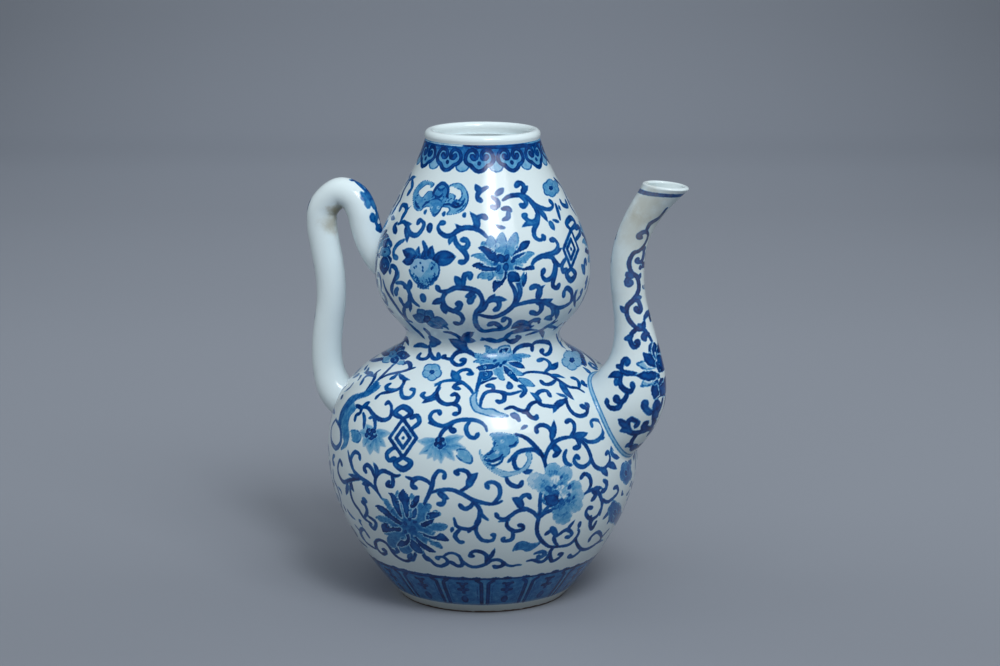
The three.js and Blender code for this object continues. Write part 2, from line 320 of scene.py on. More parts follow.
def outline_at(arc, inset=0.0):
    """Points of the outline at distances along it, moved inwards by an inset, with the
    outward directions there."""
    point = np.stack([np.interp(arc, outline_arc, side) for side in outline.T], -1)
    slope = np.stack([np.interp(arc, outline_arc, side) for side in outline_slope.T], -1)
    outward = np.stack([slope[:, 1], -slope[:, 0]], -1)
    outward /= np.linalg.norm(outward, axis=1, keepdims=True)
    return point - np.reshape(inset, (-1, 1)) * outward, outward


def spun(flat, columns):
    """A surface of revolution: each pair of a radius and a height is carried round the
    axis. For outward directions it gives the normals in the same way."""
    turn = np.arange(columns) * 2 * math.pi / columns
    flat = np.asarray(flat, float)
    parts = (flat[:, :1] * np.cos(turn), flat[:, :1] * np.sin(turn), flat[:, 1:] * np.ones(columns))
    return np.stack(parts, -1)


def profile_outward(profile):
    """The outward direction along a profile, whose material lies on its left."""
    step = np.gradient(np.asarray(profile, float), axis=0)
    return np.stack([step[:, 1], -step[:, 0]], -1)


def edge_strip(outer, inner, normal, spot):
    """A flat ring between two closed rows of points. The outer row has a whole number of
    points for each point of the inner one, and each edge meets its wall exactly."""
    many, few = len(outer), len(inner)
    each = many // few
    index, start = np.arange(many), np.arange(few)
    group = many + index // each
    last = (start + 1) * each % many
    fine = np.stack([index, (index + 1) % many, group, group], -1)
    coarse = np.stack([last, many + (start + 1) % few, many + start, many + start], -1)
    quads = np.concatenate([fine, coarse])
    if normal[2] < 0:
        quads = quads[:, [1, 0, 2, 2]]
    points = np.concatenate([outer, inner])
    left, bottom, width, height = spot
    across = np.concatenate([index / many, start / few])
    up = np.concatenate([np.zeros(many), np.ones(few)])
    square = np.stack([across, up], -1)[quads]
    return points, np.broadcast_to(normal, points.shape), quads, square * (width, height) + (left, bottom)


FINE, COARSE = 720, 144
PAINTED_SPOT, INSIDE_SPOT = (0.0, 0.0, 1.0, 0.78), (0.0, 0.8, 1.0, 0.1)
LOW_SPOT, HIGH_SPOT = (0.0, 0.91, 1.0, 0.04), (0.0, 0.96, 1.0, 0.04)


def wall_patches(low, high, rows, inner_rows):
    """The sheets of a wall section between two joints: its painted outside, its inside
    with half a ridge of slip at each joint, and the two edges."""
    outer_arc = np.linspace(arc_at(low), arc_at(high), rows)
    outer, outward = outline_at(outer_arc)
    share = (1 - np.cos(np.linspace(0, math.pi, inner_rows))) / 2
    inner_arc = (outer_arc[0] + (outer_arc[-1] - outer_arc[0]) * share)[::-1]
    from_joint = np.minimum(inner_arc - outer_arc[0], outer_arc[-1] - inner_arc)
    inset = WALL + RIDGE_HEIGHT * np.exp(-(from_joint / RIDGE_WIDTH) ** 2)
    inner, inner_out = outline_at(inner_arc, inset)
    outside, inside = spun(outer, FINE), spun(inner, COARSE)
    patches = [
        patch(outside, spun(outward, FINE), PAINTED_SPOT, closed=True),
        patch(inside, spun(-inner_out, COARSE), INSIDE_SPOT, closed=True),
        edge_strip(outside[-1], inside[0], (0, 0, 1.0), HIGH_SPOT),
        edge_strip(outside[0], inside[-1], (0, 0, -1.0), LOW_SPOT),
    ]
    return patches, outer_arc, inner


BOWL_ROWS = 114
bowl_patches, bowl_arc, bowl_inner = wall_patches(FOOT_ROUNDING, belly_height, BOWL_ROWS, 30)
clear_of_floor = bowl_inner[bowl_inner[:, 1] > FLOOR_TOP + WALL]
bend = clear_of_floor[-1] + (-WALL, -WALL * 0.7)
inside = np.concatenate([clear_of_floor, [bend, (bend[0] - WALL, FLOOR_TOP), (WALL, FLOOR_TOP)]])
ring_outside = FOOT_RADIUS - FOOT_ROUNDING
ring_inside = ring_outside - RING_WIDTH
quarter = np.linspace(0, upright, 6)[:, None]
rounded = np.concatenate([np.sin(quarter), 1 - np.cos(quarter)], 1) * FOOT_ROUNDING + (ring_outside, 0)
under = np.concatenate([
    [(WALL, RECESS), (ring_inside - 1.2, RECESS), (ring_inside - 0.4, RECESS * 0.75)],
    [(ring_inside + 0.1, RECESS * 0.25), (ring_inside + 0.7, 0), (ring_outside - 0.9, 0)],
    rounded,
])
bowl_patches[1] = patch(spun(inside, COARSE), spun(profile_outward(inside), COARSE), INSIDE_SPOT,
                        closed=True, poles=(None, (0, 0, FLOOR_TOP)))
bowl_patches[3] = patch(spun(under, FINE), spun(profile_outward(under), FINE), LOW_SPOT,
                        closed=True, poles=((0, 0, RECESS), None))


# Cobalt under the glaze, from a thin wash to a full line, and the clay's two shades.
COBALT = (
    (0.0, (0.65, 0.78, 0.83)), (0.2, (0.26, 0.47, 0.67)), (0.35, (0.11, 0.345, 0.585)),
    (0.5, (0.030, 0.205, 0.475)), (0.68, (0.002, 0.096, 0.34)), (0.85, (0.0, 0.046, 0.230)),
    (1.0, (0.0, 0.020, 0.120)),
)
CLAY_SHADES, CLAY_TINT = (0.640, 0.680), (1.0, 1.19, 1.255)
# The bare foot ring is painted near black: partly the unglazed clay, partly a painted contact shadow under
# the foot.
STAIN_BROWN, WARM_GLAZE, BARE_FOOT_AND_CONTACT_SHADE = (0.34, 0.31, 0.20), (0.50, 0.51, 0.44), (0.075, 0.05, 0.04)
GLAZE_IOR = 1.43


def glaze_material(name, stains=(), whiteness=1.0):
    """Porcelain painted in cobalt under a clear glaze. Attributes carry the painting: ink
    is 0.5 at the edge of a brush line and rises inside it, tone is the line's strength,
    and wash is the strength of the thinned blue. Stains are places, radii and strengths
    of a warm brown that has crept under the glaze. Whiteness multiplies the clay's colour."""
    material = bpy.data.materials.new(name)
    material.use_nodes = True
    nodes, links = material.node_tree.nodes, material.node_tree.links
    shader = nodes["Principled BSDF"]
    shader.inputs["IOR"].default_value = GLAZE_IOR
    place = nodes.new("ShaderNodeTexCoord").outputs["Object"]

    def noise(scale, detail=2.0, roughness=0.5):
        node = nodes.new("ShaderNodeTexNoise")
        node.inputs["Scale"].default_value = scale
        node.inputs["Detail"].default_value = detail
        node.inputs["Roughness"].default_value = roughness
        links.new(place, node.inputs["Vector"])
        return node.outputs["Fac"]

    def ranged(value, low, high, to_low, to_high, kind="LINEAR"):
        node = nodes.new("ShaderNodeMapRange")
        node.interpolation_type = kind
        ends = zip(("From Min", "From Max", "To Min", "To Max"), (low, high, to_low, to_high))
        for socket, number in ends:
            node.inputs[socket].default_value = number
        links.new(value, node.inputs["Value"])
        return node.outputs["Result"]

    def combined(operation, *values):
        node = nodes.new("ShaderNodeMath")
        node.operation = operation
        for socket, value in zip(node.inputs, values):
            if isinstance(value, (int, float)):
                socket.default_value = value
            else:
                links.new(value, socket)
        return node.outputs[0]

    def attribute(field):
        node = nodes.new("ShaderNodeAttribute")
        node.attribute_name = field
        return node.outputs["Fac"]

    def mixed(share, first, second):
        node = nodes.new("ShaderNodeMix")
        node.data_type = "RGBA"
        links.new(share, node.inputs["Factor"])
        colours = [socket for socket in node.inputs if socket.type == "RGBA"]
        for socket, value in zip(colours, (first, second)):
            if isinstance(value, tuple):
                socket.default_value = (*value, 1)
            else:
                links.new(value, socket)
        return next(socket for socket in node.outputs if socket.type == "RGBA")

    bleed = ranged(noise(900), 0.3, 0.7, -0.05, 0.05)
    line = ranged(combined("ADD", attribute("ink"), bleed), 0.31, 0.70, 0, 1, "SMOOTHSTEP")
    pooled = ranged(attribute("ink"), 0.52, 0.98, 1.12, 0.84)
    brushed = ranged(noise(240, 3, 0.6), 0.3, 0.7, -0.18, 0.14)
    stroke = combined("MULTIPLY", combined("ADD", pooled, brushed), attribute("tone"))
    stroke = combined("MULTIPLY", line, stroke)
    mottled = ranged(noise(420, 3, 0.6), 0.3, 0.7, 0.78, 1.22)
    depth = combined("MAXIMUM", stroke, combined("MULTIPLY", attribute("wash"), mottled))

    ramp = nodes.new("ShaderNodeValToRGB")
    for position, _ in COBALT[1:-1]:
        ramp.color_ramp.elements.new(position)
    for element, (position, colour) in zip(ramp.color_ramp.elements, COBALT):
        element.position = position
        element.color = (*colour, 1)
    links.new(depth, ramp.inputs["Fac"])
    clays = np.outer(CLAY_SHADES, whiteness * np.array(CLAY_TINT))
    clay = mixed(noise(30, 3), *(tuple(map(float, colour)) for colour in clays))
    painted = mixed(ranged(depth, 0.0, 0.12, 0, 1), clay, ramp.outputs["Color"])

    for centre, radius, strength in stains:
        offset = nodes.new("ShaderNodeVectorMath")
        offset.operation = "DISTANCE"
        links.new(place, offset.inputs[0])
        offset.inputs[1].default_value = [value * MM for value in centre]
        spread = ranged(noise(95, 4, 0.65), 0.3, 0.7, -0.35 * radius * MM, 0.35 * radius * MM)
        reach = combined("ADD", offset.outputs["Value"], spread)
        share = ranged(reach, radius * MM, 0.1 * radius * MM, 0, strength, "SMOOTHSTEP")
        painted = mixed(share, painted, STAIN_BROWN)

    height = nodes.new("ShaderNodeSeparateXYZ")
    links.new(place, height.inputs[0])
    ragged = ranged(noise(260, 3), 0.3, 0.7, -0.0003, 0.0003)
    level = combined("ADD", height.outputs["Z"], ragged)
    warmed = mixed(ranged(level, 0.0062, 0.0040, 0, 0.45), painted, WARM_GLAZE)
    # The lowest millimetre, the bare ring, takes that near-black colour: bare clay and a painted contact
    # shadow.
    bare = ranged(level, 0.0010, 0.0007, 0, 1)
    links.new(mixed(bare, warmed, BARE_FOOT_AND_CONTACT_SHADE), shader.inputs["Base Color"])
    gloss = ranged(noise(60, 3), 0.3, 0.7, 0.10, 0.15)
    links.new(combined("MAXIMUM", gloss, combined("MULTIPLY", bare, 0.75)), shader.inputs["Roughness"])

    bump = nodes.new("ShaderNodeBump")
    bump.inputs["Strength"].default_value = 0.10
    bump.inputs["Distance"].default_value = 0.0006
    links.new(noise(170), bump.inputs["Height"])
    links.new(bump.outputs["Normal"], shader.inputs["Normal"])
    return material


def place_piece(name, patches, material, *replaced):
    """Makes a fired piece of the ewer from its patches and puts it in the frame."""
    piece = new_piece(name, patches)
    piece.data.materials.append(material)
    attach(piece, "root")
    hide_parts(*replaced)
    return piece


glaze = glaze_material("painted_glaze")
bowl = place_piece("lower_bulb_bowl", bowl_patches, glaze, "lower_bulb_base", "belly_slip_joint")


# Lower bulb, upper half: the shoulder
# A second thrown section, luted to the bowl at the belly with slip and painted across
# the joint, so that only the ridge inside shows where the two were joined.
SHOULDER_ROWS = 124
shoulder_patches, shoulder_arc, _ = wall_patches(belly_height, waist_height, SHOULDER_ROWS, 24)
shoulder = place_piece("lower_bulb_shoulder_wall", shoulder_patches, glaze,
                       "lower_bulb_shoulder", "waist_slip_joint")


# Upper bulb, lower half
# The third thrown section, from the waist to the upper bulb's widest place.
CUP_ROWS = 72
cup_patches, cup_arc, _ = wall_patches(waist_height, upper_height, CUP_ROWS, 20)
cup = place_piece("upper_bulb_cup", cup_patches, glaze, "upper_bulb_base", "upper_belly_slip_joint")


# Upper bulb, upper half, and neck
# The fourth thrown section, drawn in to the neck and trimmed level for the lip.
NECK_ROWS = 124
neck_patches, neck_arc, _ = wall_patches(upper_height, neck_height, NECK_ROWS, 24)
neck_wall = place_piece("upper_bulb_neck_wall", neck_patches, glaze, "upper_bulb_neck", "lip_slip_joint")


# Lip
# A coil rolled on the neck's edge and smoothed over with a wet cloth, left white.
LIP_UPRIGHT, LIP_BULGE = 1.3, 0.35
top_height = box_mm("mouth_lip")[1][2]
lip_inside = outline_at(np.array([arc_at(neck_height)]), WALL)[0][0]
lip_middle, lip_half = (neck_radius + lip_inside[0]) / 2, (neck_radius - lip_inside[0]) / 2
roll = np.linspace(0, math.pi, 19)
roll_height = neck_height + LIP_UPRIGHT
rise = top_height - roll_height
bulge = LIP_BULGE * np.clip(np.cos(roll), 0, 1) ** 0.5
lip_profile = np.concatenate([
    [(neck_radius, neck_height), (neck_radius + LIP_BULGE * 0.3, neck_height + LIP_UPRIGHT * 0.4)],
    np.stack([lip_middle + lip_half * np.cos(roll) + bulge, roll_height + rise * np.sin(roll)], 1),
    [lip_inside],
])
lip_sheet = spun(lip_profile, FINE)
lip_patches = [
    patch(lip_sheet, spun(profile_outward(lip_profile), FINE), PAINTED_SPOT, closed=True),
    edge_strip(lip_sheet[0], lip_sheet[-1], (0, 0, -1.0), LOW_SPOT),
]
plain_glaze = glaze_material("plain_glaze", whiteness=1.10)
place_piece("rolled_lip", lip_patches, plain_glaze, "mouth_lip")


# Spout
# Pressed in two moulds, a front and a back half, closed with slip along the inner and the
# outer seam, and luted over the pouring hole. Its lip is cut nearly level.
def smooth_path(points, steps):
    """A curve through points: a centripetal Catmull-Rom spline, each span a cubic whose
    slopes at its ends come from the neighbours, timed by the root of their distance."""
    points = np.asarray(points, float)
    first, last = 2 * points[0] - points[1], 2 * points[-1] - points[-2]
    padded = np.concatenate([[first], points, [last]])
    gap = np.sqrt(np.linalg.norm(np.diff(padded, axis=0), axis=1))[:, None]
    chord = np.diff(padded, axis=0) / gap
    wide = (padded[2:] - padded[:-2]) / (gap[1:] + gap[:-1])
    tangent = chord[:-1] - wide + chord[1:]
    span = gap[1:-1]
    t = np.linspace(0, len(points) - 1, steps)
    index = np.minimum(t.astype(int), len(points) - 2)
    t = (t - index)[:, None]
    a, b = points[index], points[index + 1]
    leave, arrive = tangent[index] * span[index], tangent[index + 1] * span[index]
    return ((2 * t ** 3 - 3 * t ** 2 + 1) * a + (t ** 3 - 2 * t ** 2 + t) * leave
            + (3 * t ** 2 - 2 * t ** 3) * b + (t ** 3 - t ** 2) * arrive)


def path_rows(rows, base, outset, radius, start, rise):
    """Rows of shares, outwards, of the radius and upwards, as places x, radius and z."""
    rows = np.array(rows)
    return np.stack([base + rows[:, 0] * outset, rows[:, 1] * radius, start + rows[:, 2] * rise], 1)


def tube_path(points, overrun=0.0, steps=6000):
    """Distances along a path, and at each the x, radius and z of the smooth curve. An
    overrun takes it straight on past its end."""
    curve = smooth_path(points, steps)
    if overrun:
        beyond = np.linspace(0, 1, 400)[1:, None] * overrun
        slope = curve[-1] - curve[-6]
        slope /= math.hypot(slope[0], slope[2])
        curve = np.concatenate([curve, curve[-1] + beyond * slope])
    step = np.hypot(*np.diff(curve[:, [0, 2]], axis=0).T)
    return np.concatenate([[0], np.cumsum(step)]), curve


def tube_points(path, along, turn, growth=0.0):
    """Points of a round tube about a path in the plane of spout and handle: the centre,
    plus the radius times the cosine of the turn in the plane's outward direction, and
    times its sine across the plane. along and turn are grids of the same shape."""
    arc, curve = path
    slope = np.gradient(curve, arc, axis=0)
    x, radius, z = (np.interp(along, arc, side) for side in curve.T)
    slope_x, slope_z = (np.interp(along, arc, side) for side in slope[:, [0, 2]].T)
    length = np.hypot(slope_x, slope_z)
    radius = radius + growth
    outward = radius * np.cos(turn)
    parts = (x + outward * slope_z / length, radius * np.sin(turn), z - outward * slope_x / length)
    return np.stack(parts, -1)


def outside_body(points):
    """How far points lie outside the body's outline, measured level."""
    return np.hypot(points[..., 0], points[..., 1]) - radius_at(points[..., 2])


def crossing(values, along):
    """For each column of a grid, the place along it where its values first turn positive,
    by straight interpolation."""
    first = np.maximum(np.argmax(values > 0, axis=0), 1)
    column = np.arange(values.shape[1])
    low, high = values[first - 1, column], values[first, column]
    share = np.clip(-low / np.where(high == low, 1, high - low), 0, 1)
    return along[first - 1] + share * (along[first] - along[first - 1])


def root_distances(path, turn, depth, at_end=False):
    """How far along a tube each of its lines leaves the body, counted from a depth inside
    the surface, or where it goes back in at the path's end."""
    probe = np.linspace(0, path[0][-1], 2500)
    probe = probe[::-1][:1200] if at_end else probe[:1200]
    grid = np.meshgrid(probe, turn, indexing="ij")
    return crossing(outside_body(tube_points(path, *grid)) + depth, probe)


SPOUT_START, SPOUT_RISE, SPOUT_THROW = belly_height + 15.5, 117.5, 15.5
SPOUT_ROOT_RADIUS, SPOUT_NECK_RADIUS = 19.4, 7.75
SPOUT_STANDOFF, SPOUT_WALL, SPOUT_LIP_WALL = 22.85, 2.9, 2.0
SPOUT_ROOT_SHARES = (
    (-1.2, 1, -0.03), (-0.56, 1, 0.055), (-0.12, 0.93, 0.136), (0.08, 0.785, 0.217), (0.14, 0.62, 0.291),
)
SPOUT_NECK_SHARES = (
    (0.11, 1.27, 0.364), (0.04, 1.1, 0.432), (-0.06, 1.01, 0.503), (-0.13, 1, 0.576), (-0.14, 1, 0.649),
    (-0.07, 0.985, 0.72), (0.09, 0.96, 0.787), (0.36, 0.98, 0.857), (0.68, 1.05, 0.919), (1.12, 1.27, 1),
)
spout_rows = np.concatenate([
    path_rows(SPOUT_ROOT_SHARES, belly_radius, SPOUT_THROW, SPOUT_ROOT_RADIUS, SPOUT_START, SPOUT_RISE),
    path_rows(SPOUT_NECK_SHARES, upper_radius + SPOUT_STANDOFF, SPOUT_THROW, SPOUT_NECK_RADIUS,
              SPOUT_START, SPOUT_RISE),
])
spout_path = tube_path(spout_rows, overrun=10.0)
SPOUT_TOP = box_mm("spout_back_half")[1][2]
SPOUT_TILT, SPOUT_ROLL = math.tan(math.radians(5.0)), 1.0
SPOUT_GRID, SPOUT_COLUMNS, HIDDEN = 330, 61, 1.6
spout_lip_x = spout_rows[-1][0] - SPOUT_NECK_RADIUS


def lip_distances(turn, growth):
    """How far along the spout each of its lines reaches the plane of the lip, less the
    roll. The plane falls outwards by the tilt."""
    arc = spout_path[0]
    probe = np.linspace(arc[-1] * 0.8, arc[-1], 500)
    points = tube_points(spout_path, *np.meshgrid(probe, turn, indexing="ij"), growth)
    plane = SPOUT_TOP - SPOUT_ROLL - SPOUT_TILT * (points[..., 0] - spout_lip_x)
    return crossing(points[..., 2] - plane, probe)


def spout_half(side):
    """One half of the spout: side is -1 for the front half and 1 for the back one. Its
    patches are the outside, the rolled lip, the bore, the hidden root edge and the two
    seams. Gives the patches, and the turns and distances of the outside's points."""
    step = math.pi / (SPOUT_COLUMNS - 1)
    turn = (np.arange(SPOUT_COLUMNS + 2) - 1) * step - (math.pi if side < 0 else 0)
    share = np.linspace(0, 1, SPOUT_GRID)[:, None]
    starts = root_distances(spout_path, turn, HIDDEN)
    along = starts + (lip_distances(turn, 0.0) - starts) * share
    angles = np.broadcast_to(turn, along.shape)
    outside = tube_points(spout_path, along, angles)
    near_lip = np.clip((share - 0.9) / 0.1, 0, 1)
    growth = -SPOUT_WALL + (SPOUT_WALL - SPOUT_LIP_WALL) * near_lip ** 2 * (3 - 2 * near_lip)
    bore_along = starts + (lip_distances(turn, -SPOUT_LIP_WALL) - starts) * share
    bore = tube_points(spout_path, bore_along, angles, growth)[::-1]
    roll = np.linspace(0, math.pi, 13)[:, None, None]
    middle, half = (outside[-1] + bore[0]) / 2, (outside[-1] - bore[0]) / 2
    rim = middle + half * np.cos(roll) + np.array([0, 0, SPOUT_ROLL]) * np.sin(roll)
    root = np.stack([bore[-1], outside[0]])
    outer_line = np.concatenate([outside, rim[1:6]])
    inner_line = np.concatenate([bore[::-1], rim[-2:-7:-1]])
    sheets = [(outside, (0, 0, 1, 0.7)), (rim, (0, 0.72, 1, 0.05)), (bore, (0, 0.79, 1, 0.1)),
              (root, (0, 0.9, 1, 0.02))]
    patches = [patch(sheet[:, 1:-1], slopes(sheet)[:, 1:-1], spot) for sheet, spot in sheets]
    for column, spot in ((1, (0, 0.93, 1, 0.03)), (-2, (0, 0.97, 1, 0.03))):
        pair = (inner_line, outer_line) if column == 1 else (outer_line, inner_line)
        seam = np.stack([line[:, column] for line in pair], 1)
        patches.append(patch(seam, np.broadcast_to((0, -side, 0.0), seam.shape), spot,
                             poles=(None, rim[6, column])))
    return patches, turn[1:-1], along[:, 1:-1]


front_patches, front_turn, front_along = spout_half(-1)
back_patches, back_turn, back_along = spout_half(1)
SPOUT_STAINS = (((82, -8, 191), 13, 0.42), ((74, -7, 178), 12, 0.30), ((80, 0, 165), 46, 0.14))
spout_glaze = glaze_material("stained_spout_glaze", SPOUT_STAINS)
spout_front = place_piece("spout_front", front_patches, spout_glaze, "spout_front_half", "spout_outer_seam")
spout_back = place_piece("spout_back", back_patches, spout_glaze, "spout_back_half", "spout_inner_seam")


# Slip at the spout's root
# Wet slip pressed into the corner between spout and shoulder and smoothed with a finger
# into a hollow curve, then painted with a double ring.
COLLAR_COLUMNS, COLLAR_ROWS, SUNK, DEEP = 288, 33, 0.03, 0.36


def root_fillet(path, reach_out, reach_body, at_end=False):
    """A hollow fillet between a tube and the body. Across it runs a quadratic curve, from
    a point on the body, by the corner where the two meet, to a point on the tube; a
    second one just under the surfaces closes it."""
    turn = np.arange(COLLAR_COLUMNS) * 2 * math.pi / COLLAR_COLUMNS
    turn = turn[::-1] if at_end else turn
    root = root_distances(path, turn, 0.0, at_end)
    way = -1 if at_end else 1
    corner, upper_edge, nearby = (
        tube_points(path, root + way * shift, turn) for shift in (0.0, reach_out, 0.2)
    )
    around = np.roll(corner, -1, axis=0) - np.roll(corner, 1, axis=0)
    tube_out = np.cross(around, nearby - corner)
    tube_out /= np.linalg.norm(tube_out, axis=1, keepdims=True)
    flat_out = outline_at(arc_at(corner[:, 2]))[1]
    azimuth = np.arctan2(corner[:, 1], corner[:, 0])
    level, lift = flat_out.T
    body_out = np.stack([level * np.cos(azimuth), level * np.sin(azimuth), lift], 1)
    away = tube_out - (tube_out * body_out).sum(axis=1, keepdims=True) * body_out
    away /= np.linalg.norm(away, axis=1, keepdims=True)
    lower_edge = corner + reach_body * away
    for _ in range(3):
        lower_edge = lower_edge - outside_body(lower_edge)[:, None] * body_out * 0.8
    share = np.linspace(0, 1, COLLAR_ROWS)[:, None, None]

    def arch(low, mid, high):
        return (1 - share) ** 2 * low + 2 * share * (1 - share) * mid + share ** 2 * high

    front = arch(lower_edge - SUNK * body_out, corner, upper_edge - SUNK * tube_out)
    back = arch(lower_edge - DEEP * body_out, corner - DEEP * (body_out + tube_out),
                upper_edge - DEEP * tube_out)[::-1]
    low, high = np.stack([back[-1], front[0]]), np.stack([front[-1], back[0]])
    sheets = ((front, 0, 0.5), (back, 0.55, 0.2), (low, 0.8, 0.05), (high, 0.9, 0.05))
    return [patch(sheet, slopes(sheet, True), (0, up, 1, share_up), closed=True)
            for sheet, up, share_up in sheets], front


spout_fillet, spout_fillet_points = root_fillet(spout_path, 2.6, 2.4)
spout_root = place_piece("spout_root_fillet", spout_fillet, glaze, "spout_root_collar")


# Handle
# A solid rod rolled by hand, bent over a former and luted at both ends, plain but for a
# band of painting along its outer spine.
HANDLE_START, HANDLE_RISE, HANDLE_OUTSET = belly_height + 11.5, 106.2, 9.0
HANDLE_RADIUS, HANDLE_ROOT_RADIUS = 7.2, 9.4
HANDLE_ROOT_SHARES = ((-1.6, 1, -0.02), (-0.6, 1, 0.035), (0.28, 0.92, 0.1), (0.7, 0.8, 0.19))
HANDLE_LIMB_SHARES = (
    (0.78, 1, 0.294), (0.66, 0.98, 0.4), (0.5, 0.97, 0.502), (0.5, 0.98, 0.588), (0.62, 1, 0.674),
    (0.82, 1, 0.762), (0.98, 1, 0.852), (0.86, 1, 0.926),
)
HANDLE_TOP_SHARES = (
    (2.46, 1, 0.995), (1.66, 1, 0.978), (1.22, 1, 0.919), (0.97, 1, 0.842), (0.6, 1.03, 0.768),
    (0, 1.1, 0.706), (-0.9, 1.15, 0.66), (-2.6, 1.15, 0.6),
)
handle_rows = np.concatenate([
    path_rows(rows, -base, -HANDLE_OUTSET, radius, HANDLE_START, HANDLE_RISE) for rows, base, radius in (
        (HANDLE_ROOT_SHARES, belly_radius, HANDLE_ROOT_RADIUS),
        (HANDLE_LIMB_SHARES, belly_radius, HANDLE_RADIUS),
        (HANDLE_TOP_SHARES, upper_radius, HANDLE_RADIUS),
    )
])
handle_path = tube_path(handle_rows)
HANDLE_GRID, HANDLE_COLUMNS = 600, 96
handle_turn = np.arange(HANDLE_COLUMNS) * 2 * math.pi / HANDLE_COLUMNS
handle_starts = root_distances(handle_path, handle_turn, HIDDEN)
handle_ends = root_distances(handle_path, handle_turn, HIDDEN, at_end=True)
handle_along = handle_starts + (handle_ends - handle_starts) * np.linspace(0, 1, HANDLE_GRID)[:, None]
handle_points = tube_points(handle_path, handle_along, np.broadcast_to(handle_turn, handle_along.shape))
handle_poles = (handle_points[0].mean(axis=0), handle_points[-1].mean(axis=0))
handle_patches = [patch(handle_points, slopes(handle_points, True), (0, 0, 1, 1), True, handle_poles)]
HANDLE_STAINS = (((-73, -3, 172), 9, 0.62), ((-73, -2, 179), 6.5, 0.85))
handle_glaze = glaze_material("stained_handle_glaze", HANDLE_STAINS, 1.10)
handle = place_piece("looped_handle", handle_patches, handle_glaze, "handle")


# Slip at the handle's roots
# The same hollow curves of slip, one round each end of the rod.
lower_fillet = root_fillet(handle_path, 2.2, 2.2)[0]
upper_fillet = root_fillet(handle_path, 2.0, 2.0, at_end=True)[0]
place_piece("handle_lower_fillet", lower_fillet, plain_glaze, "handle_lower_collar")
place_piece("handle_upper_fillet", upper_fillet, plain_glaze, "handle_upper_collar")


# Painting
# Drawn in cobalt with a brush on the dried ware, right across its joints: lines that swell
# and end in a drop, closed shapes with an outline and a thin wash, and bands at lip and foot.
PIXEL_MM = 0.478
NEAREST, FARTHEST = 1150.0, 1450.0
UNPAINTED, CLEARANCE, MARGIN, WIPE_SOFTNESS = -9.0, 1.0, 3.0, 0.7
ONCE, BOTH_SIDES = ((1, 0.0),), ((1, 0.0), (-1, 0.0))


def sight(pixels):
    """Unit directions of the lines of sight through pixels of the photograph."""
    right, up = from_view(1.0, 0.0, 0.0), from_view(0.0, math.sin(VIEW_DIP), math.cos(VIEW_DIP))
    ahead = from_view(0.0, math.cos(VIEW_DIP), -math.sin(VIEW_DIP))
    offset = np.asarray(pixels, float) - (PHOTO_WIDTH / 2, PHOTO_HEIGHT / 2)
    lines = FOCAL_PIXELS * ahead + offset[:, :1] * right - offset[:, 1:] * up
    return lines / np.linalg.norm(lines, axis=1, keepdims=True)


def wrapped(turn):
    """Turns brought between minus and plus half a round."""
    return (turn + math.pi) % (2 * math.pi) - math.pi


def body_spot(points):
    """The turn and the distance along the outline of points on the body."""
    return np.arctan2(points[..., 1], points[..., 0]), arc_at(points[..., 2])


def tube_reader(path):
    """For a round tube, the function that gives how far points lie outside it, and the
    one that gives their turn and distance along it, from the nearest of its centres."""
    arc, curve = path
    centre, along = curve[::16], arc[::16]
    slope = np.gradient(centre[:, [0, 2]], along, axis=0)
    slope /= np.linalg.norm(slope, axis=1, keepdims=True)

    def nearest(points):
        flat = np.hypot(points[..., None, 0] - centre[:, 0], points[..., None, 2] - centre[:, 2])
        index = flat.argmin(axis=-1)
        out = ((points[..., 0] - centre[index, 0]) * slope[index, 1]
               - (points[..., 2] - centre[index, 2]) * slope[index, 0])
        return index, out

    def gap(points):
        index, out = nearest(points)
        return np.hypot(out, points[..., 1]) - centre[index, 1]

    def spot(points):
        index, out = nearest(points)
        return np.arctan2(points[..., 1], out), along[index]

    return gap, spot


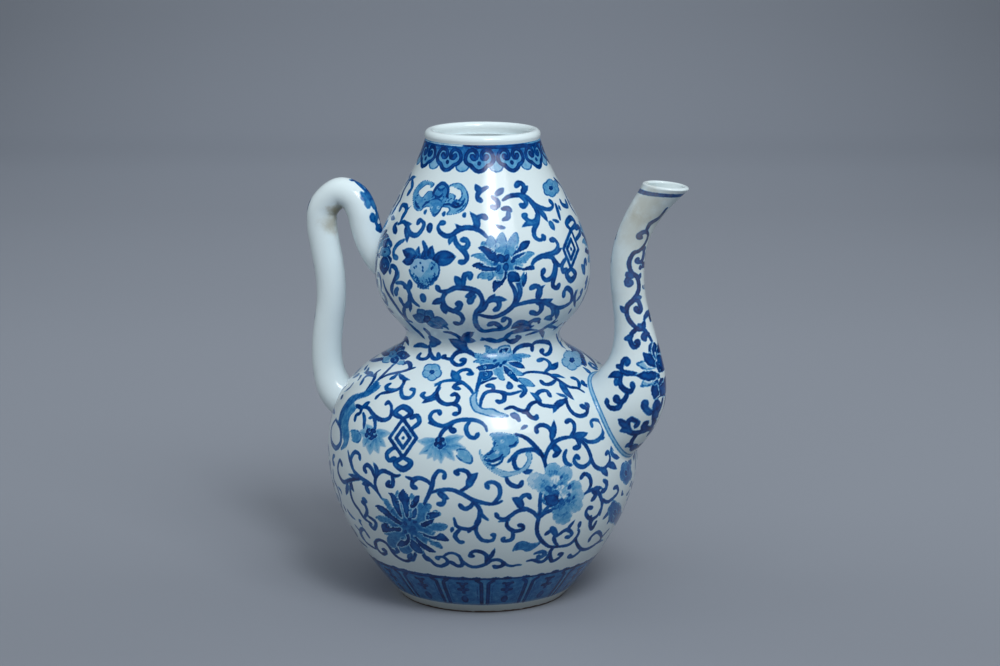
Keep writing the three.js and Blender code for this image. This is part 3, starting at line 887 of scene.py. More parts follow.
class Sheet:
    """A surface laid out flat for the brush: the turn of each column, and the distance
    along and the radius of each point. Ink is how far inside the nearest line a point
    lies, tone is how dark that line is, and wash is the thinned blue beside it. Copies
    are the pairs of a sign and a shift of the turn at which everything is repeated."""

    def __init__(self, turn, along, radius, gap, spot, copies):
        self.turn, self.along, self.radius = turn, along, radius
        self.gap, self.spot, self.copies = gap, spot, copies
        self.ink = np.full(along.shape, UNPAINTED)
        self.tone, self.wash = np.zeros(along.shape), np.zeros(along.shape)
        self.taken, self.found = None, {}

    def spare(self):
        """From here on, leaves out every line and shape that would come near to what is
        painted already."""
        self.taken = (self.ink > -CLEARANCE) | (self.wash > 0.02)

    def clear(self, turn, along):
        """Whether a path stays off what was taken."""
        columns = np.rint(turn / (self.turn[1] - self.turn[0])).astype(int) % len(self.turn)
        rows = np.searchsorted(self.along[:, 0], along).clip(0, len(self.along) - 1)
        return not self.taken[rows, columns].any()

    def at(self, pixels):
        """Turns and distances along where the lines of sight through pixels first meet
        the surface, or pass it closest, halved down from a coarse search."""
        key = np.asarray(pixels, float).tobytes()
        if key in self.found:
            return self.found[key]
        lines = sight(pixels)[:, None]
        reach = np.linspace(NEAREST, FARTHEST, 150)
        gap = self.gap(camera_place + lines * reach[:, None])
        first = np.where((gap < 0).any(axis=1), np.argmax(gap < 0, axis=1), gap.argmin(axis=1))
        low, high = reach[np.maximum(first - 1, 0)], reach[first]
        for _ in range(9):
            middle = (low + high) / 2
            inside = self.gap(camera_place + lines[:, 0] * middle[:, None]) < 0
            low, high = np.where(inside, low, middle), np.where(inside, middle, high)
        turn, along = self.spot(camera_place + lines[:, 0] * high[:, None])
        self.found[key] = np.unwrap(turn), along
        return self.found[key]

    def blocks(self, path):
        """For each copy, the rows and columns near a path, and the offsets of their points
        from each point of the path, across and along, in millimetres."""
        for sign, shift in self.copies:
            turn, along = sign * path[0] + shift, path[1]
            if self.taken is not None and not self.clear(turn, along):
                continue
            low, high = along.min() - MARGIN, along.max() + MARGIN
            rows = np.nonzero(((self.along > low) & (self.along < high)).any(axis=1))[0]
            if not rows.size:
                continue
            middle = (turn.min() + turn.max()) / 2
            half = (turn.max() - turn.min()) / 2 + MARGIN / max(self.radius[rows].min(), 1.0)
            columns = np.nonzero(np.abs(wrapped(self.turn - middle)) < half)[0]
            if not columns.size:
                continue
            block = np.ix_(rows, columns)
            own = wrapped(self.turn[columns] - middle)
            across = (own[None, :, None] - (turn - middle)) * self.radius[block][..., None]
            yield block, across, self.along[block][..., None] - along

    def lay(self, block, inside, tone):
        """Inks a block where it lies deeper inside the new shape than in older lines."""
        over = inside > self.ink[block]
        self.tone[block] = np.where(over, tone, self.tone[block])
        self.ink[block] = np.maximum(self.ink[block], inside)

    def wipe(self, block, inside, wash=0.0):
        """Takes off what a shape covers, and leaves a wash there."""
        cover = np.clip(0.5 + inside / WIPE_SOFTNESS, 0, 1)
        self.ink[block] = np.minimum(self.ink[block], -inside)
        self.wash[block] = self.wash[block] * (1 - cover) + wash * cover

    def brush(self, path, halves, tone, wipe=False):
        """A brush line: circles of the given half widths along a path, seen as one."""
        for block, across, up in self.blocks(path):
            inside = (halves - np.hypot(across, up)).max(axis=-1)
            if wipe:
                self.wipe(block, inside)
            else:
                self.lay(block, inside, tone)

    def area(self, path, wash, line=0.32, tone=0.8, fill=None, rim=0.0):
        """A closed shape, which covers what lies beneath it. A point is inside it when a
        level line from the point crosses the edge an odd number of times. It gets a wash
        and an outline, or a dark fill inside a bare rim."""
        for block, across, up in self.blocks(path):
            x, y = -across, -up
            x2, y2 = np.roll(x, -1, axis=-1), np.roll(y, -1, axis=-1)
            rise = np.where(y2 == y, 1e-9, y2 - y)
            crossed = ((y > 0) != (y2 > 0)) & (x - y / rise * (x2 - x) > 0)
            edge = np.hypot(across, up).min(axis=-1)
            inside = np.where(crossed.sum(axis=-1) % 2 == 1, edge, -edge)
            if fill is None:
                self.wipe(block, inside, wash)
                self.lay(block, line - edge, tone)
            else:
                self.wipe(block, inside + rim)
                self.lay(block, inside, fill)

    def line(self, pixels, halves, tone=0, wipe=False):
        """A brush line through pixels of the photograph, its half widths in pixels too."""
        self.brush(self.at(pixels), halves * PIXEL_MM, tone, wipe)

    def rosette(self, form, wash, **look):
        """A closed shape with a lobed edge."""
        self.area(self.at(lobed(*form)), wash, **look)

    def shape(self, points, wash, **look):
        """A closed shape with a smooth edge through pixels of the photograph."""
        self.area(self.at(round_trip(points)), wash, **look)


def strokes(points, step=0.5):
    """Pixels close together on a smooth curve through the given ones, with the share of
    the curve's length at each, and its length."""
    points = np.reshape(points, (-1, 2)).astype(float)
    length = np.hypot(*np.diff(points, axis=0).T).sum()
    curve = smooth_path(points, max(8, int(length / step)))
    travel = np.concatenate([[0], np.cumsum(np.hypot(*np.diff(curve, axis=0).T))])
    return curve, travel / travel[-1], length


def round_trip(points):
    """A smooth closed curve through pixels, seven steps from each to the next."""
    points = np.reshape(points, (-1, 2)).astype(float)
    curve = smooth_path(np.concatenate([points[-2:], points, points[:3]]), (len(points) + 4) * 7 + 1)
    return curve[14:-21]


def tendril(sheet, points, size=1.0, tone=0.8):
    """A curling line: it starts thin, swells and ends in a drop."""
    curve, share, length = strokes(points)
    drop = np.exp(-(((1 - share) * length - 1.6) / 2.2) ** 2)
    half = 1.2 + 1.2 * np.sin(math.pi * np.clip(share * 1.1, 0, 1)) ** 0.6 + 1.35 * drop
    sheet.line(curve, size * half, tone)


def stem(sheet, points, size=1.0, tone=0.8):
    """A line that is thin at both ends."""
    curve, share, _ = strokes(points)
    half = 1.05 + 1.25 * np.sin(math.pi * share) ** 0.6
    sheet.line(curve, size * half, tone)


def leaf(sheet, x, y, end_x, end_y, width, tone=0.8, bow=0.12):
    """A pressed brush stroke: round at its base, pointed at its tip, slightly bowed."""
    middle = ((x + end_x) / 2 + bow * (end_y - y), (y + end_y) / 2 - bow * (end_x - x))
    curve, share, _ = strokes((x, y, *middle, end_x, end_y))
    half = 0.62 * width * np.sin(math.pi * np.clip(share, 0.02, 0.98) ** 0.75) ** 0.85
    sheet.line(curve, np.maximum(half, 0.25), tone)


PETAL_FORM = ((0.0, 0.25), (0.18, 0.72), (0.42, 1.0), (0.66, 0.86), (0.86, 0.42), (1.0, 0.0))


def petal(sheet, x, y, end_x, end_y, width, wash=0.3, fill=None, rim=0.55, line=0.32):
    """A pointed petal from its base to its tip, with an outline and a wash, or dark with
    a bare rim. Its form is in shares of its length and of half its width."""
    base, reach = np.array([x, y], float), np.subtract((end_x, end_y), (x, y))
    aside = np.array([-reach[1], reach[0]]) / np.hypot(*reach) * width / 2
    share, half = np.array(PETAL_FORM).T[..., None]
    middle = base + share * reach
    edge = np.concatenate([middle + half * aside, (middle - half * aside)[-2::-1]])
    sheet.shape(edge, wash, line=line, fill=fill, rim=rim)


def bare_curl(sheet, x, y, size, turn=0.0):
    """A small curl left bare in a dark petal."""
    angle = turn + np.linspace(0, 1.6 * math.pi, 14)
    reach = size * np.linspace(1.0, 0.45, 14)
    curve = np.stack([x + reach * np.cos(angle), y + reach * np.sin(angle)], 1)
    sheet.line(curve, 0.42, wipe=True)


def level_ring(sheet, along, half, tone, wander=0.1):
    """A line round the whole body at one height, drawn on the turning wheel."""
    drift = wander * np.sin(3 * sheet.turn + along)
    inside = half + drift - np.abs(sheet.along - along)
    sheet.lay(np.ix_(*map(np.arange, inside.shape)), inside, tone)


FRONT_AND_BACK = ((1, 0.0), (1, math.pi))
body_arcs = np.concatenate([bowl_arc, shoulder_arc, cup_arc, neck_arc])
body_turn = np.arange(FINE) * 2 * math.pi / FINE
body = Sheet(
    body_turn, np.repeat(body_arcs[:, None], FINE, axis=1),
    np.repeat(outline_at(body_arcs)[0][:, :1], FINE, axis=1), outside_body, body_spot, FRONT_AND_BACK,
)

# The scrolls of the upper bulb, as pixels of the photograph that the brush went through.
UPPER_TENDRILS = (
    (503, 200, 510, 196, 524, 196, 537, 206, 550, 209, 553, 205, 550, 201),
    (522, 194, 524, 189, 523, 185, 519, 183, 516, 186), (519, 195, 525, 200, 526, 204, 523, 206, 521, 205),
    (529, 200, 535, 208, 538, 215, 537, 223, 534, 230, 535, 237, 540, 240, 544, 238, 543, 236),
    (537, 214, 536, 220, 531, 222, 524, 216, 526, 215), (560, 200, 563, 205, 567, 206, 566, 201),
    (532, 265, 534, 261, 540, 257, 555, 252, 558, 246, 555, 240, 551, 240),
    (543, 257, 551, 257, 555, 262, 552, 277, 546, 280, 542, 275, 544, 270),
    (556, 262, 556, 270, 553, 286, 557, 288, 559, 285), (537, 301, 540, 295, 540, 289, 536, 286, 531, 288),
    (536, 302, 541, 305, 541, 310, 537, 314, 531, 312), (549, 304, 553, 309, 552, 316, 546, 318),
    (570, 303, 572, 297, 571, 291, 567, 288, 564, 292, 564, 296),
    (487, 237, 480, 231, 472, 228, 464, 228, 457, 231, 452, 235, 446, 236, 440, 232, 438, 227, 441, 223,
     444, 223),
    (475, 226, 477, 219, 482, 216, 486, 218), (455, 237, 456, 243, 465, 253, 467, 258, 464, 262, 460, 262),
    (459, 247, 465, 248, 468, 244, 466, 240, 462, 240),
    (398, 224, 404, 222, 411, 234, 417, 235, 424, 224, 420, 220, 418, 223),
    (401, 220, 406, 211, 406, 206, 402, 205, 400, 210), (412, 180, 412, 187, 408, 194),
    (404, 240, 398, 244, 394, 250, 394, 256, 397, 258),
    (392, 285, 396, 276, 396, 269, 392, 266, 390, 268, 390, 272), (404, 287, 409, 287, 410, 282),
    (409, 295, 409, 303, 405, 306, 400, 299),
    (484, 303, 478, 292, 463, 288, 455, 288, 448, 291, 440, 291, 437, 287),
    (450, 290, 444, 295, 443, 302, 447, 308, 460, 314, 463, 319, 460, 324, 455, 323),
    (453, 311, 459, 308, 460, 304, 457, 304), (463, 287, 465, 275, 470, 274, 470, 278),
    (475, 296, 472, 298, 469.5, 302.5), (486, 303, 492, 300, 498, 301, 499, 307, 495, 310),
    (482, 299, 481, 306, 477, 311, 475, 318, 477, 326, 483, 331, 493, 330, 503, 329, 509, 325, 510, 320,
     505, 318, 503, 321),
    (503, 329, 494, 323, 489, 325), (530, 327, 526, 323, 519, 322, 514, 326),
    (526, 327, 533, 320.5, 539, 320), (397, 223, 394, 227, 396, 232),
)
UPPER_STEMS = (
    (509, 281, 514, 289, 516, 298, 512, 307, 495, 317, 479, 315), (516, 280, 520, 289, 519, 297, 515, 305),
    (512, 307, 520, 304, 536, 301, 544, 302, 558, 308, 571, 302, 576, 291), (410, 180, 404, 190, 400, 201),
    (400, 200, 396, 207, 392, 214), (554, 178, 561, 186, 570, 205, 576, 215),
    (581, 226, 584, 234, 586, 244), (383, 280, 386, 290, 396, 306, 403, 316, 410, 325),
    (396, 283, 402, 283, 407, 288, 413, 301, 419, 306), (405, 306, 404, 312, 407, 319, 412, 322),
    (502, 209, 508, 208.5, 511, 211), (508, 211, 508, 217, 503, 220), (423, 241.5, 426, 250, 426, 259),
    (422, 259, 424.5, 251),
)
UPPER_LEAVES = (
    (522, 193, 528, 186, 5), (538, 209, 548, 222, 5), (538, 223, 522, 227, 5), (554, 254, 562, 248, 3.5),
    (552, 258, 563, 267, 4.5), (521, 287, 524, 272, 4), (537, 300, 545, 285, 4), (541, 301, 553, 299, 5),
    (541, 303, 543, 311, 4.5), (556, 308, 556, 320, 5), (575, 307, 578, 289, 3.5), (571, 309, 568, 314, 3),
    (543, 328, 557, 318, 4), (464, 228, 455, 224, 3), (478, 229, 470, 212, 5.5), (455, 236, 449, 245, 4.5),
    (404, 222, 412, 224, 4), (405, 228, 407, 243, 5), (400, 222, 411, 206, 3), (409, 180, 416, 177, 4),
    (393, 283, 394, 297, 4.5), (395, 280, 399, 271, 4), (411, 303, 410, 312, 3.5), (443, 300, 432, 304, 5),
    (443, 304, 446, 314, 6), (461, 286, 455, 276, 6), (474, 292, 465, 297, 5), (478, 313, 489, 299, 5),
    (490, 300, 507, 300, 5), (487, 303, 495, 294, 4.5), (559, 206, 561, 210, 3), (430, 224, 430, 233, 5.5),
    (423, 295, 423, 302, 6), (416, 256, 403, 250, 6), (413, 258, 402, 262, 5), (420, 258, 418, 247, 4.5),
    (432, 258, 432, 246, 5.5), (433, 260, 456, 257, 7), (436, 261, 448, 264, 5), (430, 320, 447, 325, 7),
)

# The scrolls of the shoulder and the lower bulb, in the same way.
LOWER_TENDRILS = (
    (476, 357, 470, 352, 462, 351, 455, 354, 451, 359, 443, 357, 445, 356),
    (452, 356, 452, 361, 457, 365, 463, 364, 465, 360, 461, 360), (508, 341, 514, 340, 519, 338, 517, 336),
    (513, 353, 517, 348, 525, 345, 532, 346, 532, 350),
    (531, 346, 536, 342, 549, 343, 551, 348, 549, 353, 545, 355, 541, 352, 543, 350),
    (545, 372, 550, 367, 549, 362, 543, 359, 538, 361), (556, 380, 550, 384, 544, 384, 541, 381),
    (579, 388, 579, 383, 576, 379, 572, 378), (456, 380, 458, 373, 463, 370, 469, 370, 472, 374, 468, 374),
    (463, 383, 457, 384, 454, 387, 459, 389),
    (440, 384, 437, 391, 438, 399, 445, 404, 453, 404, 459, 407, 459, 413, 454, 414),
    (450, 404, 456, 402, 458, 397, 455, 394, 452, 395), (494, 390, 492, 385.5, 487, 386),
    (498, 391, 504, 395, 504, 400, 500, 402, 497, 401), (522, 412, 527, 413, 531, 417, 536, 418, 537, 416),
    (538, 400, 537, 394, 541, 391, 547, 391, 550, 396),
    (566, 398, 568, 406, 573, 413, 580, 416, 586, 414, 588, 405, 586, 404),
    (588, 411, 585, 407.5, 581, 406), (429, 346, 430, 352, 427, 358, 421, 359, 418, 357, 420, 354),
    (429, 347, 431, 355, 435, 359, 439, 358, 438, 354), (405, 371, 410, 368, 410, 364, 407, 362, 404, 364),
    (397, 374, 394, 377, 391, 378.5), (403, 376, 404, 382, 400, 388, 393, 391, 380, 394, 376, 398),
    (400, 389, 393, 390, 387, 389, 386, 386, 390, 384),
    (403, 384, 401, 391, 403, 397, 408, 398, 413, 395, 414, 390, 411, 389),
    (374, 376, 369, 375, 364, 378, 361, 384), (350, 409, 356, 406, 361, 408, 360, 413, 356, 415, 355, 420),
    (361, 407, 368, 408, 372, 413, 377, 418, 384, 420, 390, 417, 391, 405, 388, 402, 386, 404),
    (452, 424, 443, 426, 434, 423, 430, 417, 433, 412, 439, 411, 440, 414),
    (440, 388, 431, 397, 425, 398, 422, 395, 424, 393), (470, 421, 466, 428, 469, 436, 475, 438, 478, 434),
    (449, 426, 452, 430, 455, 431), (353, 468, 351, 459, 355, 452, 359, 454, 360, 459),
    (360, 479, 350, 480, 344, 482, 339, 475, 338, 466, 340, 460, 342, 465),
    (391, 474, 393, 480, 392, 486, 387, 485, 389, 482), (374, 476, 371, 468, 367, 465, 364, 468, 366, 472),
    (364, 518, 367, 512, 365, 505, 362, 502), (418, 479, 413, 481, 412, 486, 416, 488),
    (423, 506, 428, 496, 432, 486, 434, 477, 439, 471, 445, 473, 444, 478),
    (460, 491, 467, 487, 470, 479, 467, 472, 460, 470, 455, 472, 458, 474),
    (492, 504, 499, 497, 500, 489, 497, 484, 491, 482, 486, 484, 488, 488),
    (438, 493, 444, 498, 443, 504, 438, 504), (474, 501, 470, 507, 464, 509, 460, 505),
    (506, 476, 508, 482, 514, 486, 520, 486, 522, 482), (521, 508, 520, 501, 523, 496, 528, 495, 530, 498),
    (527, 510, 518, 511, 505, 519, 499, 518, 496, 514),
    (552, 442, 552, 434, 548, 427, 541, 425, 536, 428, 537, 432), (550, 448, 556, 447, 559, 452, 554, 456),
    (570, 437, 574, 431, 574, 424, 570, 420, 566, 422), (576, 438, 579, 443, 579, 447, 574, 448),
    (583, 439, 590, 442, 598, 440, 603, 433, 602, 425, 597, 420, 591, 421, 592, 426),
    (591, 456, 589, 463, 583, 467, 577, 465, 574, 460, 576, 456, 579, 458),
    (572, 437, 580, 440, 586, 446, 590, 454, 592, 461, 596, 467, 602, 469, 607, 466, 610, 459, 608, 452,
     606, 454),
    (588, 491, 591, 484, 589, 476, 584, 474, 581, 478), (592, 491, 596, 495, 592, 500),
    (602, 499, 607, 502, 618, 492, 617, 487, 614, 488),
    (601, 508, 597, 516, 591, 519, 586, 514, 588, 508, 592, 508), (368, 516, 376, 523, 374, 529, 370, 525),
    (363, 539, 361, 535, 361, 530, 363, 529, 369, 537),
    (376, 542, 377, 548, 383, 554, 386, 553, 385, 550, 383, 550),
    (388, 546, 393, 546, 398, 551, 395, 552, 393, 550), (416, 554, 412, 560, 409, 558, 411, 554),
    (423, 556, 427, 557, 436, 565, 442, 566, 448, 562, 443, 557, 437, 558, 438, 559),
    (460, 529, 455, 536, 460, 542, 463, 542), (477, 527, 476, 531, 482, 540, 493, 540, 494, 535, 492, 535),
    (507, 521, 507, 526, 514, 531, 523, 529, 523, 526, 519, 525),
    (512, 531, 513, 535, 512, 539, 504, 541, 503, 539, 504, 538), (462, 561, 462, 565, 458, 566, 451, 562),
    (486, 564, 486, 555, 476, 551, 471, 553, 470, 556, 473, 556), (502, 561, 503, 565, 496, 567, 494, 566),
    (558, 546, 555, 542, 554, 538, 556, 534, 553, 530, 546, 534),
    (557, 536, 566, 530, 570, 531, 572, 534, 569, 537, 566, 537),
    (601, 539, 601, 535, 598, 532, 591, 537, 589, 541), (581, 549, 579, 552, 572, 557, 569, 556, 570, 555),
    (552, 548, 550, 552, 552, 561, 561, 556, 562, 554, 559, 554), (591, 516, 590, 525, 592, 529, 596, 522),
)
LOWER_STEMS = (
    (446, 332, 453, 334, 460, 338, 468, 350),
    (482, 338, 490, 341, 500, 341, 507, 337, 511, 333, 518, 330, 537, 330),
    (522, 374, 530, 372, 548, 374, 555, 378, 570, 387, 577, 388, 584, 392),
    (536, 399, 540, 404, 548, 406, 556, 406, 567, 398),
    (505, 409, 512, 407, 519, 410, 526, 411, 530, 405, 535, 402, 541, 403),
    (480, 407, 482, 398, 487, 392, 502, 392, 509, 394, 521, 391), (481, 370, 480, 378, 476, 392),
    (496, 378, 487, 380, 480, 384), (435, 386, 441, 382, 459, 381, 471, 390, 473, 394),
    (380, 379, 387, 375, 402, 371.5, 415, 367.5), (400, 358, 390, 368, 380, 378, 369, 390, 360, 397),
    (380, 370, 376, 373, 374, 379, 366, 391), (362, 366, 355, 373), (373, 416, 375, 422, 375, 431),
    (434, 425, 442, 426, 460, 420, 478, 421, 485, 426, 487, 431), (439, 440, 441, 434, 446, 428, 453, 424),
    (515, 434, 524, 437, 532, 443, 543, 457, 547, 474), (540, 455, 534, 450, 519, 452, 508, 462),
    (517, 455, 514, 461, 516, 468, 522, 471),
    (348, 451, 350, 461, 354, 471, 361, 478, 369, 483, 376, 490, 382, 499),
    (378, 492, 375, 483, 377, 475, 383, 471, 396, 476, 400, 475),
    (350, 484, 351, 495, 354, 503, 359, 510, 364, 518, 372, 524),
    (333, 470, 334, 480, 337, 487, 340, 497, 342, 507), (432, 486, 427, 481, 419, 478, 412, 479, 406, 477),
    (430, 493, 440, 490, 452, 490, 462, 494, 471, 499, 480, 502, 490, 504, 498, 503, 502, 501),
    (473, 501, 479, 508, 482, 515, 488, 520), (479, 510, 479, 518, 475, 524),
    (539, 520, 534, 513, 519, 506), (542, 490, 540, 500, 540, 512, 537, 527, 538, 535, 548, 546, 560, 547),
    (540, 518, 545, 513, 559, 508), (545, 463, 546, 455, 550, 447, 556, 441, 564, 438, 572, 437),
    (583, 495, 589, 491, 596, 490, 602, 502, 600, 515), (592, 519, 591, 524),
    (355, 525, 359, 530, 366, 542, 371, 546, 376, 549), (355, 535, 359, 540, 367, 547),
    (376, 549, 375, 543, 378, 540, 383, 541, 388, 545, 395, 555, 407, 561, 414, 557, 415, 553),
    (422, 550, 426, 559, 430, 561), (557, 547, 570, 544, 579, 532, 578, 529),
    (443, 557, 447, 554, 452, 553, 459, 556, 462, 561, 473, 567, 486, 564, 490, 561, 499, 560, 507, 565,
     512, 566, 517, 565, 521, 565),
    (527, 561, 533, 560, 540, 562, 545, 560, 551, 551, 554, 547),
    (577, 536, 576, 541, 581, 549, 587, 549, 598, 542, 602, 537, 609, 529),
    (606.7, 541.3, 611, 536, 615.6, 530.2), (635, 450, 634, 460),
    (454, 518, 456, 525, 458, 527, 471, 529, 479, 522, 480, 516),
)
LOWER_LEAVES = (
    (462, 338, 474, 332, 4), (463, 340, 476, 341, 4), (464, 348, 449, 339, 7), (549, 369, 558, 362, 5.5),
    (550, 375, 565, 378, 4), (560, 381, 574, 400, 6.5), (541, 402, 530, 392, 4.5),
    (566, 400, 553, 413, 5.5), (566, 396, 556, 393, 3), (459, 381, 452, 370, 7), (442, 382, 434, 384, 3),
    (436, 398, 422, 403, 5), (399, 374, 410, 380, 4), (373, 374, 364, 372, 4), (367, 373, 369, 367, 3),
    (354, 382, 344, 392, 3), (363, 406, 370, 402, 5), (374, 416, 368, 418, 3), (436, 424, 428, 423, 4),
    (358, 478, 348, 474, 3.5), (348, 484, 346, 495, 5), (351, 482, 354, 492, 4), (370, 483, 362, 484, 5),
    (366, 486, 370, 494, 5), (375, 478, 373, 462, 4.5), (338, 487, 342, 495, 3), (347, 509, 356, 520, 4),
    (468, 487, 478, 473, 6.5), (438, 493, 449, 499, 5), (434, 512, 441, 514, 5), (522, 508, 512, 498, 6.5),
    (510, 520, 498, 522, 3.5), (523, 471, 533, 470, 4), (551, 440, 554, 420, 5.5), (553, 446, 562, 451, 5),
    (573, 437, 588, 433, 6), (600, 439, 605, 437, 3), (607, 464, 617, 469, 5.5), (601, 469, 608, 476, 5.5),
    (592, 490, 603, 488, 4), (614, 507, 618, 504, 4), (603, 519, 614, 509, 4.5), (634, 450, 633, 460, 3),
    (580, 350, 597, 366, 6), (568, 347, 584, 354, 4), (470, 528, 468, 533, 3), (488, 560, 495, 548, 3.5),
    (551, 527, 557, 537, 5.5), (567, 530, 575, 520, 3.5), (596, 544, 604, 540, 3), (607, 524, 611, 517, 3),
    (385, 352, 398, 341, 6), (396, 346, 408, 337, 5), (560, 340, 566, 349, 3),
)


def scrolls(sheet, tendrils, stems, leaves, dark, weight=1.0):
    """Draws a group of scrolls, each line with its own slight difference in tone."""
    for points in tendrils:
        tendril(sheet, points, weight, dark + shade.uniform(-0.1, 0.1))
    for points in stems:
        stem(sheet, points, weight, dark + shade.uniform(-0.1, 0.1))
    for form in leaves:
        leaf(sheet, *form, dark + shade.uniform(-0.14, 0.08), shade.uniform(-0.16, 0.16))


shade = np.random.default_rng(8)
WAIST_STEMS = (
    (444, 332, 452, 333, 464, 342, 466, 350, 471, 354),
    (481, 340, 490, 339, 497, 341, 504, 339, 509, 334, 518, 332, 531, 330),
    (505, 339, 512, 342, 517, 340, 519, 336), (513, 326, 518, 323, 524, 325, 530, 322, 538, 320, 539, 323),
    (526, 335, 541, 330, 557, 321), (512, 328, 519, 327, 526, 329, 533, 326),
    (404, 318, 410, 324, 418, 331), (414, 346, 421, 345, 428, 347),
)
WAIST_LEAVES = (
    (466, 350, 449, 339, 8), (461, 339, 474, 332, 4.5), (461, 340, 476, 341, 4.5),
    (497, 341, 508, 336, 4.5), (520, 328, 531, 325, 7), (540, 330, 543, 338, 4), (547, 325, 558, 328, 3.5),
    (552, 320, 544, 319, 4), (553, 330, 563, 322, 4), (411, 326, 425, 339, 6), (424, 328, 431, 337, 4.5),
    (430, 337, 441, 342, 8), (430, 344, 438, 340, 6), (397, 320, 405, 330, 3.5), (403, 336, 409, 346, 4),
    (441, 326, 449, 330, 3), (563, 332, 567, 343, 4), (556, 334, 562, 347, 3.5),
)
scrolls(body, ((488, 187, 482, 190, 478, 194, 477.5, 198, 481, 201),), WAIST_STEMS, WAIST_LEAVES, 0.9)
leaf(body, 482, 192, 475.5, 184, 5, 0.84)
scrolls(body, UPPER_TENDRILS, UPPER_STEMS, UPPER_LEAVES, 0.86, 1.08)
scrolls(body, LOWER_TENDRILS, LOWER_STEMS, LOWER_LEAVES, 0.88, 0.90)


PETAL_TURN = 0.3


def lobed(x, y, radius, lobes, depth=0.18, flat=1.0, turn=PETAL_TURN):
    """Pixels round a flower's edge: the radius shrinks by a share between the lobes."""
    angle = np.linspace(0, 2 * math.pi, lobes * 12, endpoint=False)
    reach = radius * (1 - depth + depth * np.abs(np.cos(lobes * (angle - turn) / 2)) ** 0.6)
    return np.stack([x + flat * reach * np.cos(angle), y + reach * np.sin(angle)], 1)


def blossom(sheet, x, y, radius, lobes=6, wash=0.3, flat=1.0):
    """A small open flower: a lobed edge, a line between each pair of petals, and a dark
    heart."""
    sheet.rosette((x, y, radius, lobes, 0.22, flat), wash, line=0.4)
    for k in range(lobes):
        angle = PETAL_TURN + (2 * k + 1) * math.pi / lobes
        out = radius * np.array([flat * math.cos(angle), math.sin(angle)])
        spoke = [(x, y) + share * out for share in (0.35, 0.74)]
        sheet.line(strokes(spoke)[0], 0.5, 0.7)
    sheet.rosette((x, y, radius * 0.3, 5, 0.3, flat), 0, fill=0.9)


def fringe(sheet, x, y, edge, count, near, tone):
    """Fine brush marks from a flower's heart out to its edge, as in a fringed petal."""
    for k in range(count):
        tip_x, tip_y = edge[int(k * len(edge) / count)]
        start, stop = shade.uniform(near, near + 0.25), shade.uniform(0.7, 0.98)
        ends = [(x + share * (tip_x - x), y + share * (tip_y - y)) for share in (start, stop)]
        leaf(sheet, *ends[0], *ends[1], shade.uniform(1.0, 1.8), tone + shade.uniform(-0.1, 0.12), 0.05)


def lotus(sheet, pale, dark, bare, seeds, wash=0.42):
    """A lotus seen from its side: pale petals behind with an outline, dark ones before
    them inside a bare rim, curls left bare, and the dark seeds of its heart."""
    for petal_edge in pale:
        sheet.shape(petal_edge, wash, line=0.36, tone=0.72)
        corners = np.reshape(petal_edge, (-1, 2))
        fringe(sheet, *corners.mean(axis=0), corners, 6, 0.1, wash + 0.12)
    for petal_edge in dark:
        sheet.shape(petal_edge, 0, fill=1.0 + shade.uniform(-0.12, 0.08), rim=0.45)
    for curl in bare:
        bare_curl(sheet, *curl)
    for seed in seeds:
        leaf(sheet, *seed, 0.9)


# The two large lotus heads: pale petals, dark petals, bare curls and seeds, in pixels.
UPPER_LOTUS = (
    ((508, 243, 516, 233, 518, 238, 517, 246, 510, 257), (472, 256, 478, 254, 485, 255, 493, 262, 481, 260),
     (478, 278, 480, 274, 492, 272, 493, 277, 489, 280), (534, 254, 528, 252, 516, 259, 519, 262, 526, 262),
     (482, 251, 482, 243, 484, 242, 488, 245, 490, 250), (487, 252, 487, 241, 491, 236, 496, 243, 498, 252),
     (496, 251, 497, 240, 502, 233, 506, 240, 506, 250, 502, 256)),
    ((511, 257, 517, 253, 527, 248, 530, 241, 522, 242, 518, 248),
     (512, 260, 523, 255, 526, 252, 519, 254, 512, 258),
     (478, 248, 482, 246, 488, 248, 498, 255, 499, 262, 490, 260, 482, 251),
     (472, 266, 476, 263, 482, 263, 486, 266, 497, 268, 496, 270, 483, 271),
     (494, 292, 493, 282, 497, 280, 501, 281, 504, 277, 505, 271, 508, 273, 502, 285),
     (508, 281, 509, 272, 518, 273, 520, 281, 514, 282),
     (534, 270, 534, 266, 529, 266, 524, 268, 515, 266, 515, 269, 519, 270, 531, 270),
     (526, 272, 527, 277, 526, 283, 523, 287, 522, 282),
     (497, 254, 503, 255, 506, 259, 504, 263, 500, 261)),
    ((517.5, 247.5, 2.9, 1.5), (492.5, 250.5, 2.6, 4), (484, 264, 3, 3.4), (497, 279.5, 3.4, 3),
     (524, 265.5, 2.8, 3.6), (497, 246, 3.2, 2)),
    ((502, 262, 503, 257, 4), (506, 261, 509, 254, 4), (506, 270, 507.5, 263, 5), (498, 271, 501, 265, 4),
     (511, 262, 516, 261, 3), (494, 265, 498, 263, 3)),
)
